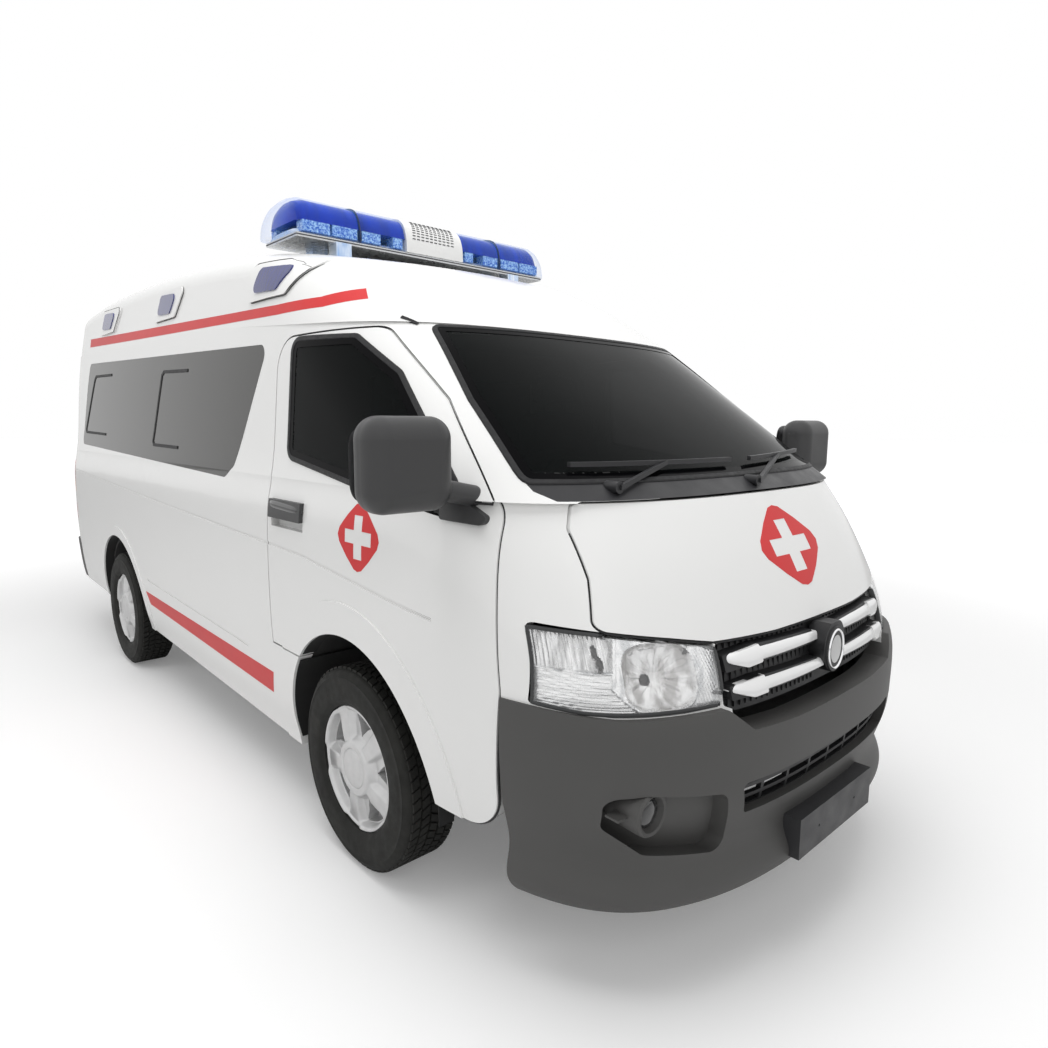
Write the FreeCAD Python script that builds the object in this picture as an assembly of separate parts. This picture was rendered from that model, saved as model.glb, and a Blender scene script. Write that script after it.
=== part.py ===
import FreeCAD, Part
import math
import os

from FreeCAD import Vector

# An ambulance built on a narrow-bodied forward-control van with a high roof cap.
# X points to the front, Y to the vehicle's left, Z up; the origin is on the ground at mid length.
# Lengths are in millimetres. Outlines are given as shares of the overall sizes below.

# Overall sizes
LENGTH = 4840.0
WIDTH = 1695.0
ROOF_HEIGHT = 2112.0
WHEELBASE = 2570.0
FRONT_OVERHANG = 1120.0
TRACK = 1490.0
HALF_LENGTH = LENGTH / 2
HALF_WIDTH = WIDTH / 2

# Sheet, glass and gaps
WALL = 45.0
GLASS = 6.0
SHUT_GAP = 6.0
FIT = 0.3
OVERRUN = 60.0
REACH = LENGTH

# Running gear
TYRE_DIAMETER = 628.0
TYRE_WIDTH = 190.0
RIM_DIAMETER = 390.0
RIM_WIDTH = 165.0
TYRE_RADIUS = TYRE_DIAMETER / 2
RIM_RADIUS = RIM_DIAMETER / 2
FRONT_AXLE_X = HALF_LENGTH - FRONT_OVERHANG
REAR_AXLE_X = FRONT_AXLE_X - WHEELBASE
WHEEL_Y = TRACK / 2
ARCH_GAP = 106.0
ARCH_RADIUS = TYRE_RADIUS + ARCH_GAP
FLARE_WIDTH_FRONT = 112.0
FLARE_WIDTH_REAR = 62.0
FLARE_PROUD = 5.0
FLARE_BEVEL = 9.0
WELL_SHEET = 14.0

# Shell of the body: corner radius at the tail, depth of the rounded nose in plan
TAIL_X = -2360.0
TAIL_CORNER = 140.0
NOSE_DEPTH_LOW = 820.0
NOSE_DEPTH_HIGH = 700.0
CAP_DEPTH = 650.0
CAP_SHEET = 40.0
CAP_SHOULDER = 120.0
CROWN_DROP = 62.0
CAP_RIM_SHARE = 0.9

# Creases pressed into the body side: one along the belt, one low on the rear half
CREASE_HEIGHT = 10.0
CREASE_DEPTH = 3.0
BELT_CREASE_SHARES = ((-0.912, 0.5005), (-0.243, 0.4725), (0.424, 0.4475), (0.717, 0.4148))
LOWER_CREASE_SHARES = ((-0.307, 0.2685), (0.166, 0.2519), (0.218, 0.2486))

# How much of a side an arc at its end may use
CORNER_REACH_SHARE = 0.45

# Horizontal slices of the shell: height, nose and half width as shares
LOWER_SLICE_SHARES = (
    (0.109, 0.977, 0.938), (0.166, 0.986, 0.962), (0.237, 0.993, 0.985), (0.294, 0.992, 0.995),
    (0.341, 0.986, 0.999), (0.379, 0.979, 1.000), (0.417, 0.966, 1.000), (0.455, 0.950, 0.998),
    (0.497, 0.930, 0.994), (0.530, 0.912, 0.983), (0.559, 0.895, 0.971),
)
UPPER_SLICE_SHARES = (
    (0.559, 0.895, 0.971), (0.592, 0.855, 0.957), (0.639, 0.798, 0.945), (0.710, 0.709, 0.930),
    (0.784, 0.616, 0.911), (0.814, 0.576, 0.901), (0.852, 0.525, 0.890),
)
CAP_SLICE_SHARES = (
    (0.758, 0.645, 0.920), (0.784, 0.616, 0.914), (0.814, 0.572, 0.901), (0.852, 0.514, 0.884),
    (0.890, 0.446, 0.867), (0.928, 0.364, 0.850), (0.966, 0.264, 0.832), (1.004, 0.157, 0.812),
    (1.042, 0.041, 0.788),
)
BUMPER_SLICE_SHARES = (
    (0.107, 0.976, 0.940), (0.166, 0.988, 0.964), (0.223, 0.997, 0.984), (0.265, 1.000, 0.994),
    (0.303, 1.000, 0.998), (0.331, 0.997, 1.000), (0.350, 0.991, 1.000), (0.372, 0.982, 1.000),
)
# Control points of the nose in plan: how far along its depth and how far across
NOSE_PLAN_SHARES = ((0.36, 1.0), (0.035, 0.70))
# Roof crown along the middle: length and height
CROWN_SHARES = (
    (-0.992, 0.980), (-0.826, 0.993), (-0.620, 1.000), (-0.331, 0.997), (0.000, 0.978),
    (0.207, 0.955), (0.372, 0.921), (0.517, 0.866), (0.620, 0.800), (0.702, 0.739),
)
# Joint between the body sides and the roof cap, seen from the side
LEDGE_SHARES = (
    (-1.033, 0.841), (-0.821, 0.840), (-0.301, 0.831), (0.010, 0.824), (0.378, 0.796),
    (0.616, 0.784), (0.780, 0.778), (1.033, 0.772),
)
# Lower edge of the body, seen from the side
SILL_SHARES = ((-1.033, 0.163), (-0.351, 0.135), (0.331, 0.114), (0.806, 0.110), (1.033, 0.110))


def x_at(share):
    return share * HALF_LENGTH


def y_at(share):
    return share * HALF_WIDTH


def z_at(share):
    return share * ROOF_HEIGHT


def control_edge(points):
    """A smooth cubic edge pulled by its control points."""
    inner = len(points) - 4
    curve = Part.BSplineCurve()
    multiplicities = [4] + [1] * inner + [4]
    curve.buildFromPolesMultsKnots(points, multiplicities, list(range(inner + 2)), False, 3)
    return curve.toShape()


def through_edge(points):
    """A smooth edge that passes through its points."""
    curve = Part.BSplineCurve()
    curve.interpolate(points)
    return curve.toShape()


def line_edge(start, end):
    return Part.LineSegment(start, end).toShape()


def closed_face(points):
    return Part.Face(Part.makePolygon(list(points) + [points[0]]))


def box(low, high):
    size = [b - a for a, b in zip(low, high)]
    return Part.makeBox(size[0], size[1], size[2], Vector(*low))


def soft_box(low, high, radius):
    block = box(low, high)
    return block.makeFillet(radius, block.Edges)


def rod(start, end, radius):
    along = end.sub(start)
    return Part.makeCylinder(radius, along.Length, start, along)


def mirrored(shape):
    return shape.mirror(Vector(0, 0, 0), Vector(0, 1, 0))


def fused(shapes):
    whole = shapes[0].multiFuse(shapes[1:]) if len(shapes) > 1 else shapes[0]
    return whole.removeSplitter()


def rounded_wire(points, radius):
    """A closed outline whose corners are arcs, each as large as its two sides allow."""
    count = len(points)
    starts, ends, edges = [], [], []
    for i, corner in enumerate(points):
        before = points[i - 1].sub(corner)
        after = points[(i + 1) % count].sub(corner)
        half_turn = before.getAngle(after) / 2
        shorter = min(before.Length, after.Length)
        reach = min(radius / math.tan(half_turn), shorter * CORNER_REACH_SHARE)
        into = corner.add(Vector(before).normalize() * reach)
        out = corner.add(Vector(after).normalize() * reach)
        middle_way = (Vector(before).normalize() + Vector(after).normalize()).normalize()
        arc_radius = reach * math.tan(half_turn)
        apex = corner.add(middle_way * (arc_radius / math.sin(half_turn) - arc_radius))
        starts.append(into)
        ends.append(out)
        edges.append(Part.Arc(into, apex, out).toShape())
    wire = []
    for i in range(count):
        wire.append(edges[i])
        wire.append(line_edge(ends[i], starts[(i + 1) % count]))
    return Part.Wire(Part.__sortEdges__(wire))


def side_prism(shares, radius, low_y, high_y, growth=0.0):
    """A prism across the vehicle with an outline drawn on its side view."""
    points = [Vector(x_at(u), low_y, z_at(v)) for u, v in shares]
    return prism_of(points, radius, growth, Vector(0, high_y - low_y, 0))


def front_prism(shares, radius, low_x, high_x, growth=0.0):
    """A prism along the vehicle with an outline drawn on its front view."""
    points = [Vector(low_x, y_at(u), z_at(v)) for u, v in shares]
    return prism_of(points, radius, growth, Vector(high_x - low_x, 0, 0))


def prism_of(points, radius, growth, along):
    wire = rounded_wire(points, radius) if radius > 0 else Part.makePolygon(points + [points[0]])
    face = Part.Face(wire)
    if growth:
        face = face.makeOffset2D(growth)
    return face.extrude(along)


def disc(centre_x, centre_z, radius, low_y, high_y):
    return Part.makeCylinder(radius, high_y - low_y, Vector(centre_x, low_y, centre_z), Vector(0, 1, 0))


# Shell of the body, as lofts through horizontal slices


def plan_wire(height, nose, half, depth, tail, corner):
    """One horizontal slice: rounded nose, straight sides, rounded rear corners."""
    side_start = nose - depth
    right = [Vector(nose - depth * back, -half * across, height) for back, across in NOSE_PLAN_SHARES]
    left = [Vector(p.x, -p.y, p.z) for p in reversed(right)]
    front = control_edge([Vector(side_start, -half, height)] + right + [Vector(nose, 0, height)]
                         + left + [Vector(side_start, half, height)])
    bend = corner * (1 - math.sqrt(0.5))
    rear_left = Part.Arc(Vector(tail + corner, half, height), Vector(tail + bend, half - bend, height),
                         Vector(tail, half - corner, height)).toShape()
    rear_right = Part.Arc(Vector(tail, corner - half, height), Vector(tail + bend, bend - half, height),
                          Vector(tail + corner, -half, height)).toShape()
    return Part.Wire([
        front,
        line_edge(Vector(side_start, half, height), Vector(tail + corner, half, height)),
        rear_left,
        line_edge(Vector(tail, half - corner, height), Vector(tail, corner - half, height)),
        rear_right,
        line_edge(Vector(tail + corner, -half, height), Vector(side_start, -half, height)),
    ])


def sliced_solid(slices, depth, tail, inset):
    """A loft through slices, drawn in by an inset all round."""
    corner = TAIL_CORNER - min(inset, TAIL_CORNER / 2)
    wires = [plan_wire(z_at(h), x_at(n) - inset, y_at(w) - inset, depth, tail + inset, corner)
             for h, n, w in slices]
    return Part.makeLoft(wires, True, False)


BODY_HULLS = {}


def body_hull(inset):
    """The closed body up to above the roof joint, drawn in by an inset."""
    if inset not in BODY_HULLS:
        lower = sliced_solid(LOWER_SLICE_SHARES, NOSE_DEPTH_LOW, TAIL_X, inset)
        upper = sliced_solid(UPPER_SLICE_SHARES, NOSE_DEPTH_HIGH, TAIL_X, inset)
        BODY_HULLS[inset] = lower.fuse(upper)
    return BODY_HULLS[inset]


def ledge_prism(lift):
    """Everything below the joint line between body and roof cap."""
    points = [Vector(x_at(u), -HALF_WIDTH - OVERRUN, z_at(v) + lift) for u, v in LEDGE_SHARES]
    top = through_edge(points)
    floor = [Vector(points[-1].x, points[0].y, 0), Vector(points[0].x, points[0].y, 0)]
    wire = Part.Wire([top, line_edge(points[-1], floor[0]), line_edge(floor[0], floor[1]),
                      line_edge(floor[1], points[0])])
    return Part.Face(wire).extrude(Vector(0, WIDTH + 2 * OVERRUN, 0))


def below_sill():
    points = [Vector(x_at(u), -HALF_WIDTH - OVERRUN, z_at(v)) for u, v in SILL_SHARES]
    points += [Vector(points[-1].x, points[0].y, -LENGTH), Vector(points[0].x, points[0].y, -LENGTH)]
    return closed_face(points).extrude(Vector(0, WIDTH + 2 * OVERRUN, 0))


def crown_solid(inset):
    """Space below the crowned roof skin."""
    wires = []
    half = HALF_WIDTH + OVERRUN
    for along, up in CROWN_SHARES:
        x, top = x_at(along), z_at(up) - inset
        edge_z = top - CROWN_DROP
        arc = Part.Arc(Vector(x, -half, edge_z), Vector(x, 0, top), Vector(x, half, edge_z)).toShape()
        floor_z = ROOF_HEIGHT / 2
        wires.append(Part.Wire([
            arc,
            line_edge(Vector(x, half, edge_z), Vector(x, half, floor_z)),
            line_edge(Vector(x, half, floor_z), Vector(x, -half, floor_z)),
            line_edge(Vector(x, -half, floor_z), Vector(x, -half, edge_z)),
        ]))
    return Part.makeLoft(wires, True, False)


def cap_solid(inset):
    """The high roof as a closed form with a rounded shoulder."""
    walls = sliced_solid(CAP_SLICE_SHARES, CAP_DEPTH, TAIL_X, inset)
    form = walls.common(crown_solid(inset)).Solids[0]
    rim = [e for e in form.Edges if e.BoundBox.ZMin > z_at(CAP_RIM_SHARE)]
    return form.makeFillet(CAP_SHOULDER - inset, rim)


HULL = body_hull(0)
HULL_INSIDE = body_hull(WALL)
CABIN_SPACE = body_hull(WALL + FIT)
INTERIOR_SPACE = body_hull(WALL + SHUT_GAP)
CAP = cap_solid(0)
BELOW_LEDGE = ledge_prism(0)
BELOW_SILL = below_sill()
RIGHT_LOW = -HALF_WIDTH - OVERRUN
RIGHT_HIGH = -HALF_WIDTH / 2


def arch_flare(axle_x, width):
    """A low swelling round the right wheel arch, with a sloping edge."""
    low_y = -HALF_WIDTH - FLARE_PROUD
    radius = ARCH_RADIUS + width
    cone = Part.makeCone(radius - FLARE_BEVEL, radius, HALF_WIDTH / 2, Vector(axle_x, low_y, TYRE_RADIUS),
                         Vector(0, 1, 0))
    return body_hull(-FLARE_PROUD).common(cone)


def crease(shares):
    """A shallow groove along the right body side."""
    half = CREASE_HEIGHT / 2
    line = [Vector(x_at(u), RIGHT_LOW, z_at(v)) for u, v in shares]
    below = [p - Vector(0, 0, half) for p in line]
    above = [p + Vector(0, 0, half) for p in reversed(line)]
    band = closed_face(below + above).extrude(Vector(0, RIGHT_HIGH - RIGHT_LOW, 0))
    return band.cut(body_hull(CREASE_DEPTH))


def shell_walls():
    """The body's double wall below the roof joint, with the right side's flares and creases."""
    flares = [arch_flare(FRONT_AXLE_X, FLARE_WIDTH_FRONT), arch_flare(REAR_AXLE_X, FLARE_WIDTH_REAR)]
    walls = HULL.multiFuse(flares).cut(HULL_INSIDE).common(BELOW_LEDGE).cut(BELOW_SILL)
    for shares in (BELT_CREASE_SHARES, LOWER_CREASE_SHARES):
        walls = walls.cut(crease(shares))
    return walls


WALLS = shell_walls()


def skin_x(y, z, lift=0.0):
    """The foremost point of the outer skin at a given width and height."""
    probe = line_edge(Vector(0, y, z), Vector(LENGTH, y, z)).common(HULL)
    return max(v.Point.x for v in probe.Vertexes) + lift


# Openings in the shell

DOOR_SHARES = (
    (0.322, 0.777), (0.537, 0.779), (0.668, 0.675), (0.787, 0.549), (0.811, 0.353),
    (0.802, 0.175), (0.322, 0.175),
)
DOOR_CORNER = 110.0
DOOR_REAR_FOOT = 600.0
DOOR_WINDOW_SHARES = (
    (0.366, 0.775), (0.504, 0.769), (0.595, 0.713), (0.731, 0.575), (0.744, 0.532), (0.367, 0.592),
)
DOOR_WINDOW_CORNER = 45.0
SIDE_WINDOW_SHARES = (
    (-0.806, 0.811), (0.285, 0.774), (0.179, 0.568), (0.145, 0.546), (-0.860, 0.579),
)
SIDE_WINDOW_CORNER = 38.0
GLASS_LAP = 22.0
SLIDING_DOOR_SHARES = ((-0.190, 0.810), (0.302, 0.785), (0.302, 0.140), (-0.190, 0.152))
SLIDING_DOOR_CORNER = 30.0
TAILGATE_SHARES = ((-0.795, 0.836), (0.795, 0.836), (0.820, 0.560), (0.820, 0.290), (-0.820, 0.290),
                   (-0.820, 0.560))
TAILGATE_CORNER = 50.0
TAILGATE_DEPTH = 120.0
TAILGATE_FOOT_SHARE = 0.35
TAILGATE_HEAD_SHARE = 0.75
TAIL_WINDOW_SHARES = ((-0.690, 0.770), (0.690, 0.770), (0.730, 0.585), (-0.730, 0.585))
TAIL_WINDOW_CORNER = 70.0
TAIL_LAMP_SHARES = ((0.835, 0.530), (1.010, 0.530), (1.010, 0.345), (0.835, 0.345))
TAIL_LAMP_X = -2215.0
WINDSCREEN_SHARES = (
    (-0.683, 0.781), (0.683, 0.781), (0.771, 0.675), (0.813, 0.593), (0.817, 0.580), (-0.817, 0.580),
    (-0.813, 0.593), (-0.771, 0.675),
)
WINDSCREEN_CORNER = 30.0
COWL_SHARES = ((-0.817, 0.580), (0.817, 0.580), (0.817, 0.571), (0.789, 0.561), (-0.789, 0.561),
               (-0.817, 0.571))
BONNET_SHARES = (
    (-0.748, 0.558), (0.748, 0.558), (0.781, 0.531), (0.785, 0.481), (0.812, 0.431), (0.642, 0.420),
    (0.520, 0.411), (0.260, 0.408), (-0.260, 0.408), (-0.520, 0.411), (-0.642, 0.420), (-0.812, 0.431),
    (-0.785, 0.481), (-0.781, 0.531),
)
BONNET_CORNER = 20.0
LAMP_SHARES = (
    (0.912, 0.436), (0.812, 0.430), (0.642, 0.419), (0.520, 0.410), (0.530, 0.345), (0.644, 0.343),
    (0.811, 0.343), (0.930, 0.348),
)
GRILLE_SHARES = (
    (-0.520, 0.409), (-0.260, 0.406), (0.260, 0.406), (0.520, 0.409), (0.530, 0.344), (0.451, 0.329),
    (-0.451, 0.329), (-0.530, 0.344),
)
LAMP_REAR_X = 1990.0
BUMPER_SHARES = (
    (-1.060, 0.351), (-0.930, 0.347), (-0.811, 0.342), (-0.535, 0.342), (-0.455, 0.315), (-0.260, 0.312),
    (0.260, 0.312), (0.455, 0.315), (0.535, 0.342), (0.811, 0.342), (0.930, 0.347), (1.060, 0.351),
    (1.060, 0.050), (-1.060, 0.050),
)
DOOR_FRONT_X = DOOR_SHARES[4][0] * HALF_LENGTH
BUMPER_WALL = 65.0
BUMPER_REAR_X = DOOR_FRONT_X + SHUT_GAP
FENDER_FOOT_SHARE = 0.350
FRONT_ZONE_LEAN_SHARE = 0.03


def door_prism(low_y, high_y, growth):
    """The front door's outline; its lower edge is the upper half of the wheel arch."""
    prism = side_prism(DOOR_SHARES, DOOR_CORNER, low_y, high_y, growth)
    arch = disc(FRONT_AXLE_X, TYRE_RADIUS, ARCH_RADIUS - growth, low_y - OVERRUN, high_y + OVERRUN)
    foot = box((x_at(DOOR_SHARES[0][0]) - OVERRUN, low_y - OVERRUN, 0),
               (FRONT_AXLE_X, high_y + OVERRUN, DOOR_REAR_FOOT - growth))
    return prism.cut(arch).cut(foot)


def arch_discs(radius, low_y, high_y):
    return [disc(x, TYRE_RADIUS, radius, low_y, high_y) for x in (FRONT_AXLE_X, REAR_AXLE_X)]


def front_zone():
    """Everything ahead of the front doors: fenders, pillars, nose."""
    door_line = DOOR_SHARES[1:5]
    points = [Vector(x_at(u), RIGHT_LOW, z_at(v)) for u, v in door_line]
    top = Vector(x_at(door_line[0][0] - FRONT_ZONE_LEAN_SHARE), RIGHT_LOW, ROOF_HEIGHT)
    foot = Vector(DOOR_FRONT_X, RIGHT_LOW, 0)
    points = [top] + points + [foot, Vector(LENGTH, RIGHT_LOW, 0), Vector(LENGTH, RIGHT_LOW, ROOF_HEIGHT)]
    return prism_of(points, DOOR_CORNER, 0.0, Vector(0, WIDTH + 2 * OVERRUN, 0))


FRONT_ZONE = front_zone()


# Body sides

SIDE_INNER_SHARE = 0.4


def tail_opening(growth):
    low_x = -HALF_LENGTH - OVERRUN
    prism = front_prism(TAILGATE_SHARES, TAILGATE_CORNER, low_x, TAIL_X + TAILGATE_DEPTH, growth)
    below = box((low_x, -y_at(TAILGATE_SHARES[2][0]) - growth, 0),
                (TAIL_X + TAILGATE_DEPTH, y_at(TAILGATE_SHARES[2][0]) + growth, z_at(TAILGATE_FOOT_SHARE)))
    above = box((low_x, -y_at(TAILGATE_SHARES[1][0]) - growth, z_at(TAILGATE_HEAD_SHARE)),
                (TAIL_X + TAILGATE_DEPTH, y_at(TAILGATE_SHARES[1][0]) + growth, ROOF_HEIGHT))
    return prism.fuse(below).fuse(above)


def tail_lamp_prism():
    return front_prism(TAIL_LAMP_SHARES, TAILGATE_CORNER / 2, -HALF_LENGTH - OVERRUN, TAIL_LAMP_X)


def side_window(growth):
    return side_prism(SIDE_WINDOW_SHARES, SIDE_WINDOW_CORNER, RIGHT_LOW, RIGHT_HIGH, growth)


def body_side():
    """The right body side with its arches, door opening and window band."""
    half_space = box((-REACH, -WIDTH, 0), (REACH, -y_at(SIDE_INNER_SHARE), ROOF_HEIGHT))
    side = WALLS.common(half_space).cut(FRONT_ZONE).cut(tail_opening(SHUT_GAP))
    for hole in arch_discs(ARCH_RADIUS, RIGHT_LOW, RIGHT_HIGH):
        side = side.cut(hole)
    side = side.cut(door_prism(RIGHT_LOW, RIGHT_HIGH, SHUT_GAP))
    side = side.cut(tail_lamp_prism_right())
    return side


def tail_lamp_prism_right():
    return mirrored(tail_lamp_prism())


def largest(shape):
    return max(shape.Solids, key=lambda s: s.Volume)


PANE_HULL = body_hull(GLASS)


def window_cut(panel, prism_at):
    """Cuts a window into a panel: a rebate for the pane and a smaller hole behind it."""
    return panel.cut(prism_at(0.0).cut(PANE_HULL)).cut(prism_at(-GLASS_LAP))


def window_pane(prism_at):
    """The pane that fills the rebate, flush with the skin."""
    return HULL.cut(PANE_HULL).common(prism_at(-FIT))


def sliding_door_prism(growth):
    return side_prism(SLIDING_DOOR_SHARES, SLIDING_DOOR_CORNER, RIGHT_LOW, RIGHT_HIGH, growth)


def side_parts():
    """Right side, left side with its sliding door, and the panes of the window band."""
    whole = body_side()
    right = largest(window_cut(whole, side_window))
    door_hole = sliding_door_prism(SHUT_GAP)
    door_body = WALLS.common(sliding_door_prism(0.0)).common(box((-REACH, -WIDTH, 0), (REACH, 0, REACH)))
    door_body = window_cut(door_body, side_window)
    left = window_cut(whole.cut(door_hole), side_window)
    pane = window_pane(side_window)
    door_pane = pane.common(sliding_door_prism(-SHUT_GAP))
    rear_pane = largest(pane.cut(sliding_door_prism(2 * SHUT_GAP)))
    return {
        "side_right": right,
        "side_left": mirrored(largest(left)),
        "sliding_door": mirrored(largest(door_body)),
        "side_glass": Part.makeCompound([largest(pane), mirrored(largest(door_pane)), mirrored(rear_pane)]),
    }


# Nose: fenders with windscreen pillars, cowl, bonnet, windscreen


def windscreen_prism(growth):
    return front_prism(WINDSCREEN_SHARES, WINDSCREEN_CORNER, 0, LENGTH, growth)


def bonnet_prism(growth):
    return front_prism(BONNET_SHARES, BONNET_CORNER, HALF_LENGTH / 2, LENGTH, growth)


def lamp_prism(growth):
    return front_prism(LAMP_SHARES, BONNET_CORNER / 2, LAMP_REAR_X, LENGTH, growth)


def grille_prism(growth):
    return front_prism(GRILLE_SHARES, BONNET_CORNER / 2, HALF_LENGTH / 2, LENGTH, growth)


def bumper_prism(growth):
    return front_prism(BUMPER_SHARES, BONNET_CORNER / 2, BUMPER_REAR_X, LENGTH, growth)


PILLAR_INSIDE_X = 1150.0
BONNET_SHEET = 26.0
BONNET_FOOT_GAP = 11.0
LAMP_DEPTH = 60.0
NOSE_HULL = body_hull(LAMP_DEPTH)
FENDER_INNER_SHARE = 0.5


def fender():
    """The right fender with the windscreen pillar that rises from it."""
    zone = FRONT_ZONE.common(box((PILLAR_INSIDE_X, -WIDTH, 0), (LENGTH, -y_at(FENDER_INNER_SHARE), REACH)))
    panel = WALLS.common(zone)
    for growth, prism in ((SHUT_GAP, bonnet_prism), (0.0, cowl_prism)):
        panel = panel.cut(prism(growth))
    panel = panel.cut(lamp_prism_right(0.0)).cut(grille_prism(0.0)).cut(bumper_prism(0.0))
    panel = panel.cut(windscreen_prism(0.0).cut(PANE_HULL)).cut(windscreen_prism(-GLASS_LAP))
    panel = panel.cut(box((0, -WIDTH, 0), (BUMPER_REAR_X, 0, z_at(FENDER_FOOT_SHARE))))
    panel = panel.cut(door_prism(RIGHT_LOW, RIGHT_HIGH, SHUT_GAP))
    return largest(panel)


def cowl_prism(growth):
    return front_prism(COWL_SHARES, 0.0, HALF_LENGTH / 2, LENGTH, growth)


def lamp_prism_right(growth):
    return mirrored(lamp_prism(growth))


def nose_parts():
    shell = WALLS.common(FRONT_ZONE)
    right_fender = fender()
    cowl = largest(shell.common(cowl_prism(-FIT)).cut(bonnet_prism(SHUT_GAP)).cut(windscreen_prism(0.0)))
    bonnet = largest(HULL.cut(body_hull(BONNET_SHEET)).common(bonnet_prism(0.0)))
    screen = HULL.cut(PANE_HULL).common(windscreen_prism(-FIT)).common(BELOW_LEDGE)
    return {
        "fenders": Part.makeCompound([right_fender, mirrored(right_fender)]),
        "cowl_panel": cowl,
        "bonnet": bonnet,
        "windscreen": largest(screen),
    }


# Front lamps, grille and bumper

GRILLE_SET_BACK = 26.0
GRILLE_SHEET = 12.0
GRILLE_BAR_DEPTH = 4.0
GRILLE_BAR_SHARES = (
    ((-0.505, 0.395), (-0.385, 0.400), (-0.075, 0.396), (-0.075, 0.381), (-0.385, 0.380), (-0.505, 0.377)),
    ((-0.500, 0.362), (-0.385, 0.366), (-0.075, 0.363), (-0.075, 0.348), (-0.385, 0.347), (-0.495, 0.346)),
)
BADGE_WIDTH = 118.0
BADGE_HEIGHT = 140.0
BADGE_DEPTH = 46.0
BADGE_CENTRE_SHARE = 0.373
INTAKE_SHARES = ((-0.490, 0.255), (0.490, 0.255), (0.470, 0.217), (-0.470, 0.217))
INTAKE_CORNER = 14.0
INTAKE_SLATS = 2
INTAKE_COLUMNS = 8
INTAKE_SLAT = 10.0
INTAKE_SET_BACK = 24.0
FOG_POCKET_SHARES = ((-0.845, 0.257), (-0.760, 0.262), (-0.545, 0.250), (-0.505, 0.172), (-0.740, 0.186),
                     (-0.840, 0.222))
FOG_POCKET_CORNER = 30.0
FOG_POCKET_DEPTH = 36.0
FOG_LAMP_SHARES = (-0.748, 0.239)
FOG_LAMP_DIAMETER = 92.0
FOG_LAMP_DEPTH = 26.0
PLATE_WIDTH = 420.0
PLATE_HEIGHT = 108.0
PLATE_FOOT = 280.0
PLATE_FRONT_X = HALF_LENGTH
PLATE_DEPTH = 16.0
PLATE_BOLT_SPACING = 210.0
PLATE_BOLT_HOLE = 7.0
BUMPER_HULL = sliced_solid(BUMPER_SLICE_SHARES, NOSE_DEPTH_LOW, TAIL_X, 0.0)


def bumper_inset(inset):
    return sliced_solid(BUMPER_SLICE_SHARES, NOSE_DEPTH_LOW, TAIL_X, inset)


def oval(width, height, centre_z, low_x, high_x):
    ellipse = Part.Ellipse(Vector(low_x, 0, centre_z), height / 2, width / 2)
    edge = ellipse.toShape()
    edge.rotate(Vector(low_x, 0, centre_z), Vector(0, 1, 0), 90)
    return Part.Face(Part.Wire([edge])).extrude(Vector(high_x - low_x, 0, 0))


def grille():
    """Black mesh plate, two bars on each side and an oval badge holder in the middle."""
    back = body_hull(GRILLE_SET_BACK + GRILLE_SHEET)
    plate = HULL.common(grille_prism(-FIT)).cut(back).common(body_hull(GRILLE_SET_BACK))
    solids = [plate]
    for bar_shares in GRILLE_BAR_SHARES:
        bar = HULL.cut(back).common(front_prism(bar_shares, GRILLE_BAR_DEPTH, HALF_LENGTH / 2, LENGTH))
        solids += [bar, mirrored(bar)]
    badge_z = z_at(BADGE_CENTRE_SHARE)
    skin = skin_x(0, badge_z)
    badge = oval(BADGE_WIDTH, BADGE_HEIGHT, badge_z, skin - GRILLE_SET_BACK - GRILLE_SHEET / 2,
                 skin - GRILLE_SET_BACK + BADGE_DEPTH)
    return fused(solids + [badge]).cut(bonnet_prism(BONNET_FOOT_GAP))


def front_bumper():
    shell = BUMPER_HULL.cut(bumper_inset(BUMPER_WALL)).common(bumper_prism(-FIT))
    intake = front_prism(INTAKE_SHARES, INTAKE_CORNER, HALF_LENGTH / 2, LENGTH)
    pocket = front_prism(FOG_POCKET_SHARES, FOG_POCKET_CORNER, HALF_LENGTH / 2, LENGTH)
    pocket = pocket.cut(bumper_inset(FOG_POCKET_DEPTH))
    shell = shell.cut(intake).cut(pocket).cut(mirrored(pocket))
    return largest(shell)


def intake_grille():
    """Slats across the lower air intake, joined by upright webs."""
    high = z_at(INTAKE_SHARES[0][1])
    low = z_at(INTAKE_SHARES[2][1])
    half = y_at(INTAKE_SHARES[0][0])
    window = front_prism(INTAKE_SHARES, INTAKE_CORNER, HALF_LENGTH / 2, LENGTH, -FIT)
    layer = bumper_inset(INTAKE_SET_BACK).cut(bumper_inset(INTAKE_SET_BACK + GRILLE_SHEET)).common(window)
    holes = []
    rows = INTAKE_SLATS + 1
    pitch = (high - low) / rows
    width = -2 * half / INTAKE_COLUMNS
    for row in range(rows):
        for column in range(INTAKE_COLUMNS):
            y = half + column * width
            z = low + row * pitch
            holes.append(box((0, y + INTAKE_SLAT / 2, z + INTAKE_SLAT / 2),
                             (LENGTH, y + width - INTAKE_SLAT / 2, z + pitch - INTAKE_SLAT / 2)))
    return largest(layer.cut(Part.makeCompound(holes)))


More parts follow.
